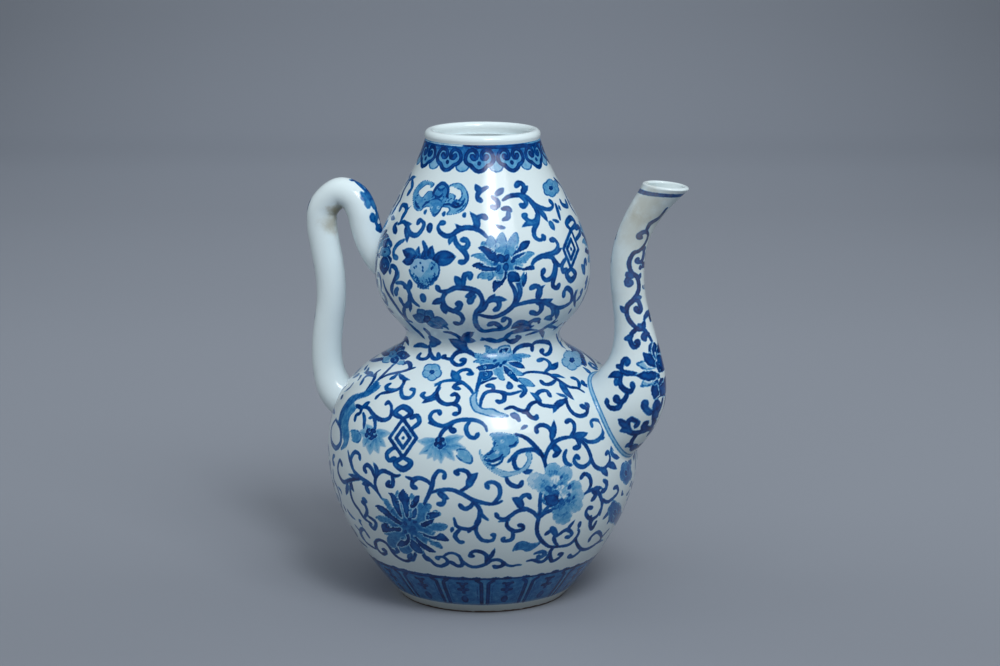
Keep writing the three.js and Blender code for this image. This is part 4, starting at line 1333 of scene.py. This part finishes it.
SHOULDER_LOTUS = (
    ((485, 346, 489, 347, 496, 354, 490, 354, 486, 351), (498, 350, 500, 347, 509, 346, 510, 352, 500, 354),
     (509, 356, 522, 354, 530, 356, 517, 359, 507, 360), (474, 354, 486, 356, 490, 359, 482, 358, 475, 357),
     (474, 362, 478, 360, 485, 361, 496, 364, 481, 364), (496, 369, 500, 370, 504, 380, 500, 379, 497, 374),
     (509, 367, 519, 371, 523, 375, 517, 375, 512, 372), (515, 359, 520, 358, 521, 361, 517, 363)),
    ((476, 368, 487, 364, 498, 366, 492, 369, 479, 370),
     (480, 372, 486, 371, 492, 371, 493, 374, 490, 378, 483, 380),
     (503, 366, 507, 367, 516, 376, 518, 382, 513, 380, 504, 371),
     (508, 363, 519, 362, 525, 368, 519, 368, 513, 366),
     (499, 352, 501, 349, 505, 348, 509, 348, 504, 353)),
    ((485, 367.5, 1.5, 3), (504, 350.5, 1.6, 1), (510.5, 373, 1.7, 2), (486, 374.5, 2.0, 4)),
    ((496, 367, 500, 362, 3), (503, 364, 507, 361, 3), (493, 362, 498, 360, 2.5),
     (500, 367, 502, 364, 2.5)),
)
LOWER_LOTUS = (
    ((398, 491, 396, 494, 396, 498, 399, 499, 400, 494), (412, 494, 410, 497, 412, 501, 415, 497),
     (382, 499, 387, 500, 394, 512, 397, 518, 391, 514), (376, 518, 380, 516, 392, 520, 388, 523, 380, 521),
     (421, 527, 430, 524, 444, 524, 447, 526, 443, 530, 428, 530),
     (427, 540, 435, 542, 439, 543, 442, 548, 431, 544), (419, 518, 422, 508, 428, 504, 431, 506, 423, 518),
     (388, 538, 397, 533, 402, 535, 398, 540, 391, 540)),
    ((404, 489, 398, 496, 402, 504, 406, 517, 408, 518, 409, 505, 410, 499),
     (388, 492, 391, 497, 392, 502, 398, 514, 402, 518, 401, 512, 398, 500, 392, 493),
     (375, 506, 379, 505, 388, 510, 392, 515, 402, 523, 398, 524, 392, 520, 380, 511),
     (381, 526, 384, 523, 388, 524, 390, 527, 401, 528, 401, 531, 395, 531, 383, 532),
     (397, 546, 401, 540, 405, 541, 407, 538, 406, 535, 409, 534, 409, 543, 401, 547),
     (411, 540, 418, 544, 423, 553, 418, 553, 410, 546),
     (414, 536, 423, 543, 428, 546, 436, 552, 430, 552, 419, 545),
     (419, 532, 425, 534, 430, 536, 436, 536, 441, 533, 449, 541, 437, 540, 424, 536),
     (420, 524, 430, 520, 434, 518, 433, 522, 424, 527), (427, 514, 436, 512, 440, 514, 437, 517, 426, 519),
     (420, 496, 416, 496, 410, 507, 414, 508, 419, 501),
     (412, 512, 416, 508, 417, 513, 415, 518, 412, 518)),
    ((389.5, 526.5, 2.4, 3), (403, 539, 2.6, 3.4), (434.5, 533.5, 2.8, 3.2), (427.5, 516.5, 2.4, 2.6),
     (411, 503.5, 3.4, 2.2), (397.5, 502, 2.2, 4)),
    ((404, 522, 406, 526, 4), (409, 521, 411, 518, 3), (411, 527, 416, 530, 4), (406, 530, 404, 534, 3),
     (400, 525, 403, 522, 3), (413, 523, 418, 522, 3), (410, 532, 411, 528, 3)),
)
# Each head, its wash, and the grounds beneath it: a lobed form, a wash and a line.
LOTUS_HEADS = (
    (UPPER_LOTUS, 0.42, ((503, 262, 20, 9, 0.25, 1.05, 0.38, -1), (504, 262, 13, 7, 0.2, 1, 0.5, 0.3))),
    (LOWER_LOTUS, 0.52, ((409, 527, 27, 9, 0.2, 1, 0.56, -1), (408, 525, 15, 7, 0.2, 1, 0.62, 0.3))),
    (SHOULDER_LOTUS, 0.42, ((500, 362, 14, 9, 0.2, 1.5, 0.36, -1),)),
)
for head, wash, grounds in LOTUS_HEADS:
    for *form, ground_wash, ground_line in grounds:
        body.rosette(form, ground_wash, line=ground_line)
    lotus(body, *head, wash=wash)
petal(body, 519, 379, 534.5, 386, 6, 0.42)


def small_lotus(sheet, x, y, pale, dark, heart):
    """A lotus of pointed petals, given by their tips and widths, round a small heart."""
    for tip_x, tip_y, width in pale:
        petal(sheet, x + 0.3 * (tip_x - x), y + 0.3 * (tip_y - y), tip_x, tip_y, width * 1.3, 0.34)
    for tip_x, tip_y, width in dark:
        base = (x + 0.2 * (tip_x - x), y + 0.2 * (tip_y - y))
        petal(sheet, *base, tip_x, tip_y, width * 1.3, fill=1.0 + shade.uniform(-0.08, 0.06))
        bare_curl(sheet, x + 0.6 * (tip_x - x), y + 0.6 * (tip_y - y), 0.22 * width, shade.uniform(0, 6))
    blossom(sheet, x, y, heart, 5, 0.5)


SMALL_LOTUSES = (
    (385, 252, (), ((383, 230, 9), (389, 238, 8), (391, 252, 9), (388, 266, 8), (384, 275, 8)), 5),
    (393, 354, ((404, 364, 6), (383, 362, 6)),
     ((380, 350, 7), (390, 344, 7), (405, 347, 7), (410, 356, 7), (396, 364, 7)), 4),
)
for flower in SMALL_LOTUSES:
    small_lotus(body, *flower)


def stipple(sheet, path, count, spread, size, tone=0.9):
    """Small dabs scattered along a path, as far from it as the spread."""
    curve, _, _ = strokes(path)
    for k in shade.integers(0, len(curve), count):
        x, y = curve[k] + shade.uniform(-spread, spread, 2)
        sheet.line([(x, y), (x + 0.4, y)], shade.uniform(0.6, 1.2) * size, tone)


# Two bats with spread wings, each an outline with a wash, a dark crown and a stipple.
BAT_SHAPES = (
    ((431, 187, 434, 184, 424, 181, 414, 192, 414, 206, 417, 210, 421, 210, 423, 208, 427, 206, 431, 206,
     432, 192, 428, 192, 422, 198, 418, 193, 424, 186, 429, 184), 0.44, 0.9),
    ((450, 186, 454, 184, 460, 184, 466, 190, 468, 198, 466, 206, 460, 212, 447, 214, 450, 210, 448, 207,
     443, 206, 446, 194, 455, 196, 454, 200, 459, 200, 462, 196, 461, 190, 457, 188), 0.36, 0.9),
    ((480, 450, 480, 455, 486, 466, 501, 476, 510, 476, 527, 469, 532, 456, 529, 452, 526, 454, 528, 458,
     526, 464, 521, 469, 512, 472, 503, 471, 490, 464, 482, 455), 0.26, 0.6),
    ((432, 198, 434, 190, 442, 182, 447, 185, 448, 196, 441, 208, 438, 213, 434, 216, 430, 206), 0.5, 1.0),
    ((490, 435, 500, 433, 515, 436, 518, 441, 515, 446, 510, 448, 509, 453, 501, 459, 493, 460, 485, 456,
     490, 452, 494, 447, 494, 441), 0.42, 0.8),
)
BAT_LINES = (
    ((433, 197, 435, 190, 439, 185, 443, 183.5, 447, 186.5, 448, 192, 446.5, 197), 1.1),
    ((434, 194.5, 437, 197, 441, 196, 443, 193), 0.9), ((432, 200, 436, 198.5, 440, 200, 442, 202.5), 0.7),
    ((437, 187, 440, 190, 445, 188), 0.9), ((443, 205, 449, 204, 455, 207, 461, 205, 465, 199), 0.9),
    ((415, 201, 417, 206, 420, 208.5), 0.9), ((422, 207, 426, 203, 430, 201), 0.9),
    ((455, 212, 461, 209, 466, 203), 0.45), ((450, 205, 455, 203, 459, 205), 0.9),
    ((484, 460, 491, 461, 498, 459, 503, 454), 0.9), ((486, 463.5, 494, 465.5, 501, 462, 504, 456), 0.6),
    ((509, 446, 514, 445, 517, 441), 0.8), ((484, 455.5, 490, 454, 494, 450), 0.5),
    ((432, 212, 435, 214.5, 438, 212), 0.5),
)
BAT_STIPPLES = (
    ((416, 194, 415, 202, 419, 208), 16, 2.2, 0.7), ((424, 200, 429, 203, 431, 196), 16, 2.4, 0.7),
    ((449, 198, 457, 204, 464, 200), 26, 2.6, 0.8), ((436, 190, 441, 194, 445, 197), 22, 3.5, 0.8),
    ((491, 455, 495, 448, 494, 440), 26, 2.0, 0.65), ((500, 441, 503, 450), 8, 3.0, 0.5),
    ((488, 463, 494, 468, 502, 472), 10, 1.6, 0.55),
)
for shape, wash, edge_tone in BAT_SHAPES:
    body.shape(shape, wash, tone=edge_tone)
for points, width in BAT_LINES:
    stem(body, points, 0.72 * width, 0.92)
for dabs in BAT_STIPPLES:
    stipple(body, *dabs)
for spot_x, spot_y in ((430.5, 207), (438.5, 207.5), (502, 441), (497, 452)):
    bare_curl(body, spot_x, spot_y, 1.7)

# The peach: a wash that deepens to one side, a dense stipple below, five dark leaves and a
# twig, and under it a wild pansy.
PEACH = (
    ((410.5, 262, 416, 258, 422, 258, 425, 259, 430, 258, 435, 260.5, 438.5, 266, 439, 272, 436, 279, 430,
     284, 423.5, 288, 418, 284, 412, 277, 409.5, 270), 0.22, 0.45, 0.85),
    ((427, 270, 431, 262, 436, 263, 438, 270, 435, 278, 428, 284, 420, 285, 414, 278, 421, 277), 0.36, 0.1,
     0.4),
)
PEACH_STIPPLES = (
    ((411, 272, 415, 279, 419, 284, 424, 286.5, 430, 282, 435, 277), 110, 2.6, 0.75),
    ((418, 278, 425, 280, 432, 277), 30, 3.0, 0.6),
)
PEACH_DOTS = (
    (414, 267.5), (416, 266), (420, 262.5), (422.5, 267), (422.5, 270.5), (431.5, 262.5), (434, 264.5),
    (431, 268.5), (432.5, 267), (434.5, 273.5),
)
PEACH_LEAVES = (
    (416, 255.5, 402.5, 250, 7), (413.5, 260, 402.5, 262, 5), (419, 257.5, 419, 246.5, 4.5),
    (431, 258.5, 432.5, 245.5, 5.5), (433, 259.5, 455.5, 256, 7.5), (435, 260.5, 447.5, 264.5, 5.5),
)
PEACH_TWIGS = ((423, 241.5, 425.5, 246, 425, 252, 422, 258), (424.5, 244, 426.5, 251, 426, 258))
PANSY = (
    (425, 318, 418, 310, 7.5), (427, 318, 431.5, 311, 8), (426, 320, 413.5, 316, 7),
    (430, 320, 447, 324.5, 8), (427, 322, 442, 328, 4.5),
)
for edge, wash, line, edge_tone in PEACH:
    body.shape(edge, wash, line=line, tone=edge_tone)
for dabs in PEACH_STIPPLES:
    stipple(body, *dabs)
for x, y in PEACH_DOTS:
    body.line([(x, y), (x + 0.5, y + 0.8)], 1.0, 0.9)
for form in PEACH_LEAVES:
    leaf(body, *form, 1.0)
for twig in PEACH_TWIGS:
    stem(body, twig, 0.6, 0.9)
for *ends, width in PANSY:
    petal(body, *ends, width * 1.2, 0.6, line=0.45)
body.rosette((427, 319, 4.0, 5, 0.2), 0, fill=1.05)

FLOWERS = (
    (551, 188, 8.5, 6, 0.4, 0.95), (432, 372, 8.5, 5, 0.3, 1.1), (572, 360, 10, 5, 0.26, 1.0),
    (626, 473, 11, 5, 0.66, 0.55), (551, 499, 8, 5, 0.6, 1.0), (615, 513, 12, 6, 0.66, 0.6),
)
for flower in FLOWERS:
    blossom(body, *flower)

# Two blossoms hang on bent stems: a dark cap above and pale petals below, given by tips.
HANGING_BLOSSOMS = (
    (371, 434, ((391, 433), (386, 447), (379, 454), (370, 455), (363, 447), (358, 432), (366, 424))),
    (440, 443, ((417, 441), (419, 454), (427, 459), (434, 461), (441, 464), (455, 461), (466, 448),
     (464, 436))),
)
for x, y, tips in HANGING_BLOSSOMS:
    for tip in tips:
        for share, wash in ((1.0, 0.24), (0.8, 0.34), (0.6, 0.44), (0.42, 0.56)):
            end = (x + share * (tip[0] - x), y + share * (tip[1] - y))
            petal(body, x, y, *end, 5.0 + 4.5 * share, wash, line=-1)
        fringe(body, x, y, [tip], 4, 0.2, 0.50)
    body.rosette((x, y, 6.5, 5, 0.25), 0, fill=0.98)
    for curl in range(3):
        bare_curl(body, x + 3.2 * math.cos(2.1 * curl), y + 3.0 * math.sin(2.1 * curl), 1.3, 2.0 * curl)

# The peony: ragged overlapping petals from the outside in, then its heart.
PEONY_HEART = (555, 493)
PEONY_PETALS = (
    (553, 471, 8, 0.42), (565, 474, 7.5, 0.34), (536, 481, 8.5, 0.20), (544, 484, 9.5, 0.34),
    (575, 487, 6.5, 0.40), (578, 495, 6, 0.28), (574, 504, 8.5, 0.38), (562, 515, 9.5, 0.46),
    (560, 507, 8, 0.52), (552, 490, 8, 0.50), (556, 481, 6.5, 0.08), (562, 485, 5.5, 0.50),
    (562, 492, 7.5, 0.08), (568, 491, 4.5, 0.14),
)
PEONY_CORE = (545.5, 496, 549, 494.5, 555, 495, 559, 499, 558, 504, 552, 506.5, 547.5, 505, 545, 500)
PEONY_STALKS = (
    (540.5, 492, 540, 502, 539.5, 514), (550, 505, 546, 509, 541, 515), (557, 508, 549, 511, 541, 516),
)
PEONY_SHADES = (
    (561, 479, 563, 475, 3), (556, 488, 554, 484, 3), (569, 489, 571, 484, 3.5), (568, 494, 571, 497, 3),
    (559, 500, 565, 506, 5), (566, 500, 570, 503, 3.5), (553, 492, 558, 497, 6), (546, 487, 551, 493, 5),
    (572, 499, 576, 497, 3),
)
for x, y, radius, wash in PEONY_PETALS:
    edge = lobed(x, y, radius, 9, 0.16, turn=x)
    body.area(body.at(edge), 0.8 * wash, line=0.24, tone=max(0.34, wash + 0.06))
    inward = np.array([x, y]) + 0.5 * np.subtract(PEONY_HEART, (x, y))
    fringe(body, *inward, edge, 22 if wash > 0.1 else 9, 0.1, wash + 0.12)
for form in PEONY_SHADES:
    leaf(body, *form, 0.8)
body.shape(PEONY_CORE, 0, fill=1.1)
for stalk in PEONY_STALKS:
    stem(body, stalk, 0.8, 0.8)

# Two knotted ribbons and leaves, each an edge and a wash.
RIBBONS = (
    ((478, 391, 471, 397, 471, 404, 475, 411, 483, 414, 490, 416, 499, 417, 508, 416, 498, 412, 492, 409,
     484, 409, 478, 405, 476, 399, 477, 393), 0.22),
    ((378, 380, 366, 391, 352, 396, 345, 404, 340, 414, 339, 426, 343, 424, 345, 415, 349, 407, 356, 400,
     369, 395, 380, 386), 0.66),
    ((354, 402, 348, 408, 344, 414, 341, 423, 342, 433, 344, 442, 341, 449, 346, 446, 349, 436, 348, 425,
     350, 416, 356, 408), 0.5),
    ((457, 450, 465, 450, 472, 458, 471, 463, 463, 461, 457, 456), 0.35),
    ((513.3, 550.8, 516, 545, 519, 542.5, 524.4, 541.9, 531, 544, 539.4, 543, 534, 548, 527, 551, 522, 549,
     516, 550), 0.6),
    ((351, 431, 357, 431, 361, 437, 358, 442, 352, 440), 0.45),
)
for ribbon, wash in RIBBONS:
    body.shape(ribbon, wash, line=0.42, tone=0.75)
stem(body, (336, 419, 332, 426, 331, 434, 332, 443, 336, 448, 340, 444, 341, 436, 340, 427, 336, 420), 1.1)


# Knot ornaments, a traditional filling between scrolls: a lozenge with a loop at each end.
def knot(sheet, x, y, width, height):
    """An endless knot: a lozenge of two crossing bands, with loops above, below and at
    both sides, and a small lozenge in its middle."""
    for grow in (1.0, 0.52):
        half_x, half_y = grow * width / 2, grow * height / 3.2
        corners = ((x, y - half_y), (x + half_x, y), (x, y + half_y), (x - half_x, y))
        for start, end in zip(corners, corners[1:] + corners[:1]):
            sheet.line(strokes((*start, *end))[0], 1.75, 0.9)
    sheet.line([(x, y), (x + 0.2, y)], 1.6, 0.88)
    for way in (-1, 1):
        base = y + way * height / 3.2
        loop = ((0, 0), (0.30, 0.09), (0, 0.19), (-0.30, 0.09), (0, 0))
        stem(sheet, [(x + way * width * a, base + way * height * b) for a, b in loop], 1.3, 0.9)
        side = x + way * width * 0.30
        curl = ((0, 0.14), (0.3, 0.26), (0.22, 0.36), (0, 0.33))
        tendril(sheet, [(side + way * width * a, y - way * height * b) for a, b in curl], 1.0, 0.84)


for x, y, width, height in ((571, 249, 15, 62), (403, 438, 27, 62)):
    knot(body, x, y, width, height)


# The two flanks that lie between front and back: a lotus on each bulb, with the scrolls
# round it and then further ones wherever there is room.
FLANKS = (
    (UPPER_LOTUS, (503, 262), (UPPER_TENDRILS, UPPER_STEMS, UPPER_LEAVES)),
    (LOWER_LOTUS, (408, 524), (LOWER_TENDRILS, LOWER_STEMS, LOWER_LEAVES)),
)
for flower, spot, tables in FLANKS:
    onto_flank = FACING + upright - body.at([spot])[0][0]
    for step in (0.0, 0.5, -0.5, 0.95, -0.95, 0.25, -0.25, 1.4, -1.4):
        body.copies = tuple((1, onto_flank + step + half) for half in (0, math.pi))
        body.spare()
        scrolls(body, *tables, 0.84)
        body.taken = None
        if step == 0.0:
            body.rosette((*spot, 24, 9, 0.25), 0.25, line=0.2, tone=0.4)
            lotus(body, *flower)
body.copies = FRONT_AND_BACK

# The band under the lip: two lines from the wheel, then ruyi heads, each a pair of scrolls
# that meet in a point, with a wash round them and a scallop between each two.
RUYI_HEADS, LAPPETS = 12, 16
upper_line, lower_line, ruyi_height = (body.at([(482, y)])[1][0] for y in (144.0, 148.2, 160.0))
HEAD_LINE = (
    (3.3, 1.5), (2.6, 0.5), (1.5, 0.6), (1.0, 1.9), (1.4, 3.5), (3.1, 4.5), (5.1, 3.8), (6.3, 1.6),
    (6.2, -0.6), (4.9, -2.1), (3.5, -2.7), (2.7, -3.7), (1.5, -4.8), (0.0, -5.4),
)


def local(sheet, turn, along, shape):
    """A path on a sheet, from offsets across and along in millimetres."""
    shape = np.asarray(shape, float)
    radius = np.interp(along, sheet.along[:, 0], sheet.radius[:, 0])
    return turn + shape[:, 0] / radius, along + shape[:, 1]


ruyi_centre = FACING + math.radians(-3.0)
ground = np.clip((body.along - ruyi_height + 1.6) / 0.8, 0, 1)
ground = ground * np.clip((lower_line - body.along) / 0.5 + 0.5, 0, 1)
body.wash = np.maximum(body.wash, 0.60 * ground)
below_lip = np.clip((body.along - lower_line) / 0.4, 0, 1)
blue_side = np.clip((wrapped(body.turn - FACING) + 0.42) / 0.2, 0.3, 1)
body.wash = np.maximum(body.wash, 0.34 * below_lip * blue_side)
level_ring(body, lower_line, 0.55, 0.85)
level_ring(body, upper_line, 0.30, 0.50, 0.2)
stem(body, (464, 145.2, 480, 146.2, 500, 146.6, 520, 146.0, 537, 144.6), 1.1, 1.0)
body.copies = ONCE
angle = np.linspace(0, 2 * math.pi, 40, endpoint=False)
scallop = np.stack([2.9 * np.cos(angle), -2.9 + 2.6 * np.sin(angle)], 1)
half_line = smooth_path(HEAD_LINE, 70)
head_edge = np.concatenate([half_line[22:], (half_line * (-1, 1))[-2:21:-1]])
swell = 1.0 + 0.36 * np.exp(-np.linspace(0, 12, 70) ** 2)
head_turns = ruyi_centre + np.arange(RUYI_HEADS) * 2 * math.pi / RUYI_HEADS
for turn in head_turns + math.pi / RUYI_HEADS:
    body.area(local(body, turn, ruyi_height, scallop), 0.32, line=0.36, tone=0.85)
for turn in head_turns:
    body.area(local(body, turn, ruyi_height, head_edge), 0.40, line=0.3)
    for side in (-1, 1):
        body.brush(local(body, turn, ruyi_height, half_line * (side, 1)), swell, 1.12)
    body.brush(local(body, turn, ruyi_height, ((0.0, -1.7), (0.0, -1.5))), 1.0, 1.05)

# The lappets above the foot: upright panels between two lines, each with a double edge, a
# cloud mark above and a drop below.
lappet_top, lappet_foot = (body.at([(500, y)])[1][0] for y in (579.0, 604.0))
lappet_centre = body.at([(506, 592)])[0][0]
span = lappet_top - lappet_foot
pitch = 2 * math.pi / LAPPETS
within = np.clip((body.along - lappet_foot) / 0.6 + 0.5, 0, 1)
within = within * np.clip((lappet_top - body.along) / 0.6 + 0.5, 0, 1)
across = np.abs(wrapped((body.turn - lappet_centre) * LAPPETS) / (2 * math.pi))
panel = np.clip((0.475 - across) / 0.02, 0, 1)
body.wash = np.where(within > 0, within * (0.42 + 0.14 * panel), body.wash)
body.ink = np.where(within > 0, UNPAINTED, body.ink)
# A cloud mark is dabs, each a place across in millimetres, a share up and half a width.
CLOUD_MARK = (
    (0, 0.80, 1.5), (-1.9, 0.84, 1.0), (1.9, 0.84, 1.0), (0, 0.70, 1.1), (-1.8, 0.60, 1.2),
    (1.8, 0.60, 1.2), (0, 0.58, 1.5), (0, 0.47, 0.9),
)
up_panel = np.linspace(0.02, 0.93, 40)
up_inner = up_panel[:34]
outer_edge = pitch * (0.422 - 0.10 * np.clip((up_panel - 0.8) / 0.13, 0, 1) ** 2)
inner_edge = pitch * (0.325 - 0.08 * np.clip((up_inner - 0.7) / 0.13, 0, 1) ** 2)
drop = np.linspace(0, 1, 12)
drop_path, drop_half = np.stack([0 * drop, drop * 3.6], 1), 1.2 + 0.6 * np.sin(math.pi * drop)
for turn in lappet_centre + np.arange(LAPPETS) * pitch:
    for side in (-1, 1):
        body.brush((turn + side * outer_edge, lappet_foot + span * up_panel), 1.0, 1.12)
        body.brush((turn + side * inner_edge, lappet_foot + span * up_inner), 0.34, 0.9)
    for x, y, half in CLOUD_MARK:
        body.brush(local(body, turn, lappet_foot + span * y, ((x, 0), (x + 0.2, 0))), half, 1.12)
    body.brush(local(body, turn, lappet_foot + span * 0.12, drop_path), drop_half, 1.12)
level_ring(body, lappet_top, 0.85, 1.05, 0.25)
for bump in range(3 * LAPPETS):
    spot = lappet_centre + (bump + shade.uniform(-0.2, 0.2)) * pitch / 3
    arc = local(body, spot, lappet_top + 0.5, ((-1.2, 0), (0, 0.3), (1.2, 0)))
    body.brush(arc, shade.uniform(0.5, 1.0), 1.05)
level_ring(body, lappet_foot + 0.9, 0.35, 0.34)
level_ring(body, lappet_foot, 0.5, 0.62)
body.copies = FRONT_AND_BACK


# The spout: a scroll down each side with a half lotus at its root, a band below the lip,
# and the double ring round the slip at its root.
spout_gap, spout_spot = tube_reader(spout_path)
spout_turn = np.concatenate([front_turn, back_turn])
spout_along = np.concatenate([front_along, back_along], axis=1)
spout_radius = np.interp(spout_along, spout_path[0], spout_path[1][:, 1])
spout_sheet = Sheet(spout_turn, spout_along, spout_radius, spout_gap, spout_spot, BOTH_SIDES)
SPOUT_TENDRILS = (
    (647, 233, 644, 232, 639, 236, 641, 238), (643, 247, 644, 252, 641, 262, 637, 261, 638, 259),
    (633, 276, 627, 280, 627, 284, 629, 285, 631, 283, 629, 281),
    (634, 300, 638, 301, 641, 309, 639, 312, 636, 309, 637, 308), (649, 334, 646, 334, 644, 337, 645, 339),
    (638, 329, 634, 331, 630, 339, 634, 347, 638, 345, 638, 342, 636, 342),
    (621, 370, 623, 361, 626, 359, 628, 362, 627, 364),
    (622, 374, 620, 384, 627, 391, 631, 391, 633, 387, 632, 384),
    (626, 391, 627, 394, 625, 399, 621, 403, 619, 407, 611, 408, 607, 404, 607, 400),
    (620, 401.7, 616.7, 400, 616.1, 396.7), (659, 409, 659, 406, 657, 403, 655, 405, 656, 407),
    (653, 413, 648, 411, 643, 404, 646, 403, 647, 404), (652, 429, 644, 428, 644, 425, 647, 424),
    (650, 429, 641, 432, 632, 433, 629, 431, 628, 422, 632, 419, 638, 423, 636, 426),
)
SPOUT_STEMS = (
    (667, 208, 659, 218, 650, 224, 646, 232),
    (647, 231, 648, 236, 643, 247, 639, 251, 634, 253, 629, 263, 632, 273, 637, 277, 639, 288, 635, 298,
     627, 307, 628, 318, 638, 329, 643, 329, 649, 336, 656, 350),
    (621, 366, 622, 371, 626, 373, 637, 374), (663, 397, 661, 406, 658, 411, 651, 413),
    (653, 414, 654, 419, 652, 429), (638, 433, 632, 441, 631, 447), (631, 447, 637, 447, 645, 442),
    (642.2, 261.7, 644.4, 265.6, 645.6, 263.9), (615, 233, 615.6, 238), (612.2, 244, 612.4, 248),
    (610.3, 258.5, 610.3, 265), (644, 319, 648, 313, 651, 320), (650, 352, 650.6, 346.7, 651.7, 344.4),
)
SPOUT_LEAVES = (
    (633, 276, 626, 273, 6), (639, 279, 641, 273, 3.5), (636, 298, 642, 297, 4), (627, 312, 620, 306, 4.5),
    (642, 328, 638, 324, 4), (644, 328, 645, 321, 4), (631, 336, 624, 339, 4.5), (621, 367, 616, 365, 4),
    (622, 376, 608, 377, 6), (616, 379, 616, 386, 4), (654, 413, 658, 417, 5.5), (652, 429, 652, 434, 4.5),
    (627, 428, 618, 419, 5), (629, 432, 619, 431, 4), (630, 444, 626, 447, 4), (633, 446, 634, 450, 6),
    (645, 250, 645, 246, 3), (643, 285, 644, 289, 2), (659, 422, 662, 418, 2.5),
)
scrolls(spout_sheet, SPOUT_TENDRILS, SPOUT_STEMS, SPOUT_LEAVES, 0.96)
SPOUT_PALE_PETALS = (
    (656, 366, 637, 363.9, 8), (656, 376, 641.1, 386, 8), (657, 362, 651, 345, 6),
)
SPOUT_DARK_PETALS = (
    (657, 366, 643, 353, 11), (660, 376, 636, 375.5, 10), (659, 380, 654, 399, 11), (658, 360, 654, 342, 8),
    (661, 372, 663, 350, 9), (662, 378, 664, 396, 9),
)
SPOUT_SEEDS = ((656.1, 370.6), (656.7, 374.4), (656.7, 377.2), (660, 369.4), (660.6, 376.7), (659, 364))
for form in SPOUT_PALE_PETALS:
    petal(spout_sheet, *form, 0.28)
for form in SPOUT_DARK_PETALS:
    petal(spout_sheet, *form, fill=1.05)
bare_curl(spout_sheet, 654.4, 383.3, 2.3)
bare_curl(spout_sheet, 648, 370.5, 2.6, 3.0)
for x, y in SPOUT_SEEDS:
    spout_sheet.line([(x, y), (x, y + 0.3)], 0.7, wipe=True)
from_lip = spout_along[-1] - spout_along
band = 1.05 - np.abs(from_lip - 3.1)
spout_sheet.lay(np.ix_(*map(np.arange, band.shape)), band, 0.86)


# The handle: an undulating tendril along its outer spine with curls to both sides.
handle_gap, handle_spot = tube_reader(handle_path)
handle_radius = np.interp(handle_along, handle_path[0], handle_path[1][:, 1])
handle_sheet = Sheet(handle_turn, handle_along, handle_radius, handle_gap, handle_spot, BOTH_SIDES)
HANDLE_WAVE, HANDLE_SWING = 26.0, 1.5
handle_ends_at = (handle_along.min() + 16, 127.0)
spine = np.arange(*handle_ends_at, 0.25)
swing = HANDLE_SWING * np.sin(2 * math.pi * spine / HANDLE_WAVE)
handle_sheet.copies = ONCE
handle_sheet.brush((math.pi + swing / HANDLE_RADIUS, spine), 0.5 + 0.16 * np.sin(spine / 3), 0.85)
for k, start in enumerate(np.arange(handle_ends_at[0] + 5, 108.0, HANDLE_WAVE / 2)):
    side, angle = (-1) ** k, np.linspace(0, 1.5 * math.pi, 26)
    size = np.linspace(2.5, 1.2, 26)
    curl = np.stack([side * (2.2 - size * np.cos(angle) * 0.9), start + 1.5 + size * np.sin(angle)], 1)
    handle_sheet.brush((math.pi + curl[:, 0] / HANDLE_RADIUS, curl[:, 1]), np.linspace(0.4, 0.95, 26), 0.85)
handle_sheet.copies = BOTH_SIDES
HANDLE_TENDRILS = (
    (376.7, 218.9, 373.3, 220, 372.8, 217.2, 373.9, 216.1),
    (376.1, 222.2, 377.8, 226.7, 380, 230.6, 382, 230, 382.2, 227.2, 380.2, 225),
)
HANDLE_STEMS = (
    (353.3, 179.4, 357.8, 182.8, 362.2, 187.2, 365.6, 190.6),
    (375.6, 206.8, 377.2, 213.3, 376.7, 217.8, 376.1, 222.2, 377.8, 226.7),
)
HANDLE_LEAVES = (
    (368, 199, 361.7, 193.3, 5), (369, 198, 367, 190, 5), (371, 198, 373, 191, 5),
    (369, 201, 368, 207.5, 6), (372, 201, 375.5, 208, 6),
)
for form in ((369, 199, 361, 198, 5), (370, 200, 375, 204, 6)):
    petal(handle_sheet, *form, 0.3)
scrolls(handle_sheet, HANDLE_TENDRILS, HANDLE_STEMS, HANDLE_LEAVES, 0.8)


def paint(piece, sheet, rows=slice(None), columns=slice(None)):
    """Hands part of a sheet to the outside of a piece, as values of its points. Ink is
    stored as a half at a line's edge, and rises to one a millimetre inside it."""
    fields = {"ink": 0.5 + sheet.ink / 2, "tone": sheet.tone, "wash": sheet.wash}
    for field, values in fields.items():
        values = np.clip(values[rows, columns], 0, 1).astype(np.float32).ravel()
        whole = np.zeros(len(piece.data.vertices), np.float32)
        whole[:values.size] = values
        piece.data.attributes.new(field, "FLOAT", "POINT").data.foreach_set("value", whole)


ring_step = np.linalg.norm(np.diff(spout_fillet_points, axis=0), axis=-1)
ring_place = np.concatenate([np.zeros((1, COLLAR_COLUMNS)), np.cumsum(ring_step, axis=0)])
ring_place = ring_place - 0.62 * ring_place[-1]
ring_sheet = Sheet(np.zeros(COLLAR_COLUMNS), ring_place, np.ones(ring_place.shape), None, None, ())
ring_sheet.ink = 0.40 - np.abs(np.abs(ring_place) - 0.72)
ring_sheet.tone = np.full(ring_place.shape, 0.50)
ring_sheet.wash = 0.22 * np.clip((1.0 - np.abs(ring_place)) / 0.3, 0, 1)
paint(spout_root, ring_sheet)

row = 0
for piece, arcs in ((bowl, bowl_arc), (shoulder, shoulder_arc), (cup, cup_arc), (neck_wall, neck_arc)):
    paint(piece, body, slice(row, row + len(arcs)))
    row += len(arcs)
paint(spout_front, spout_sheet, columns=slice(0, SPOUT_COLUMNS))
paint(spout_back, spout_sheet, columns=slice(SPOUT_COLUMNS, None))
paint(handle, handle_sheet)
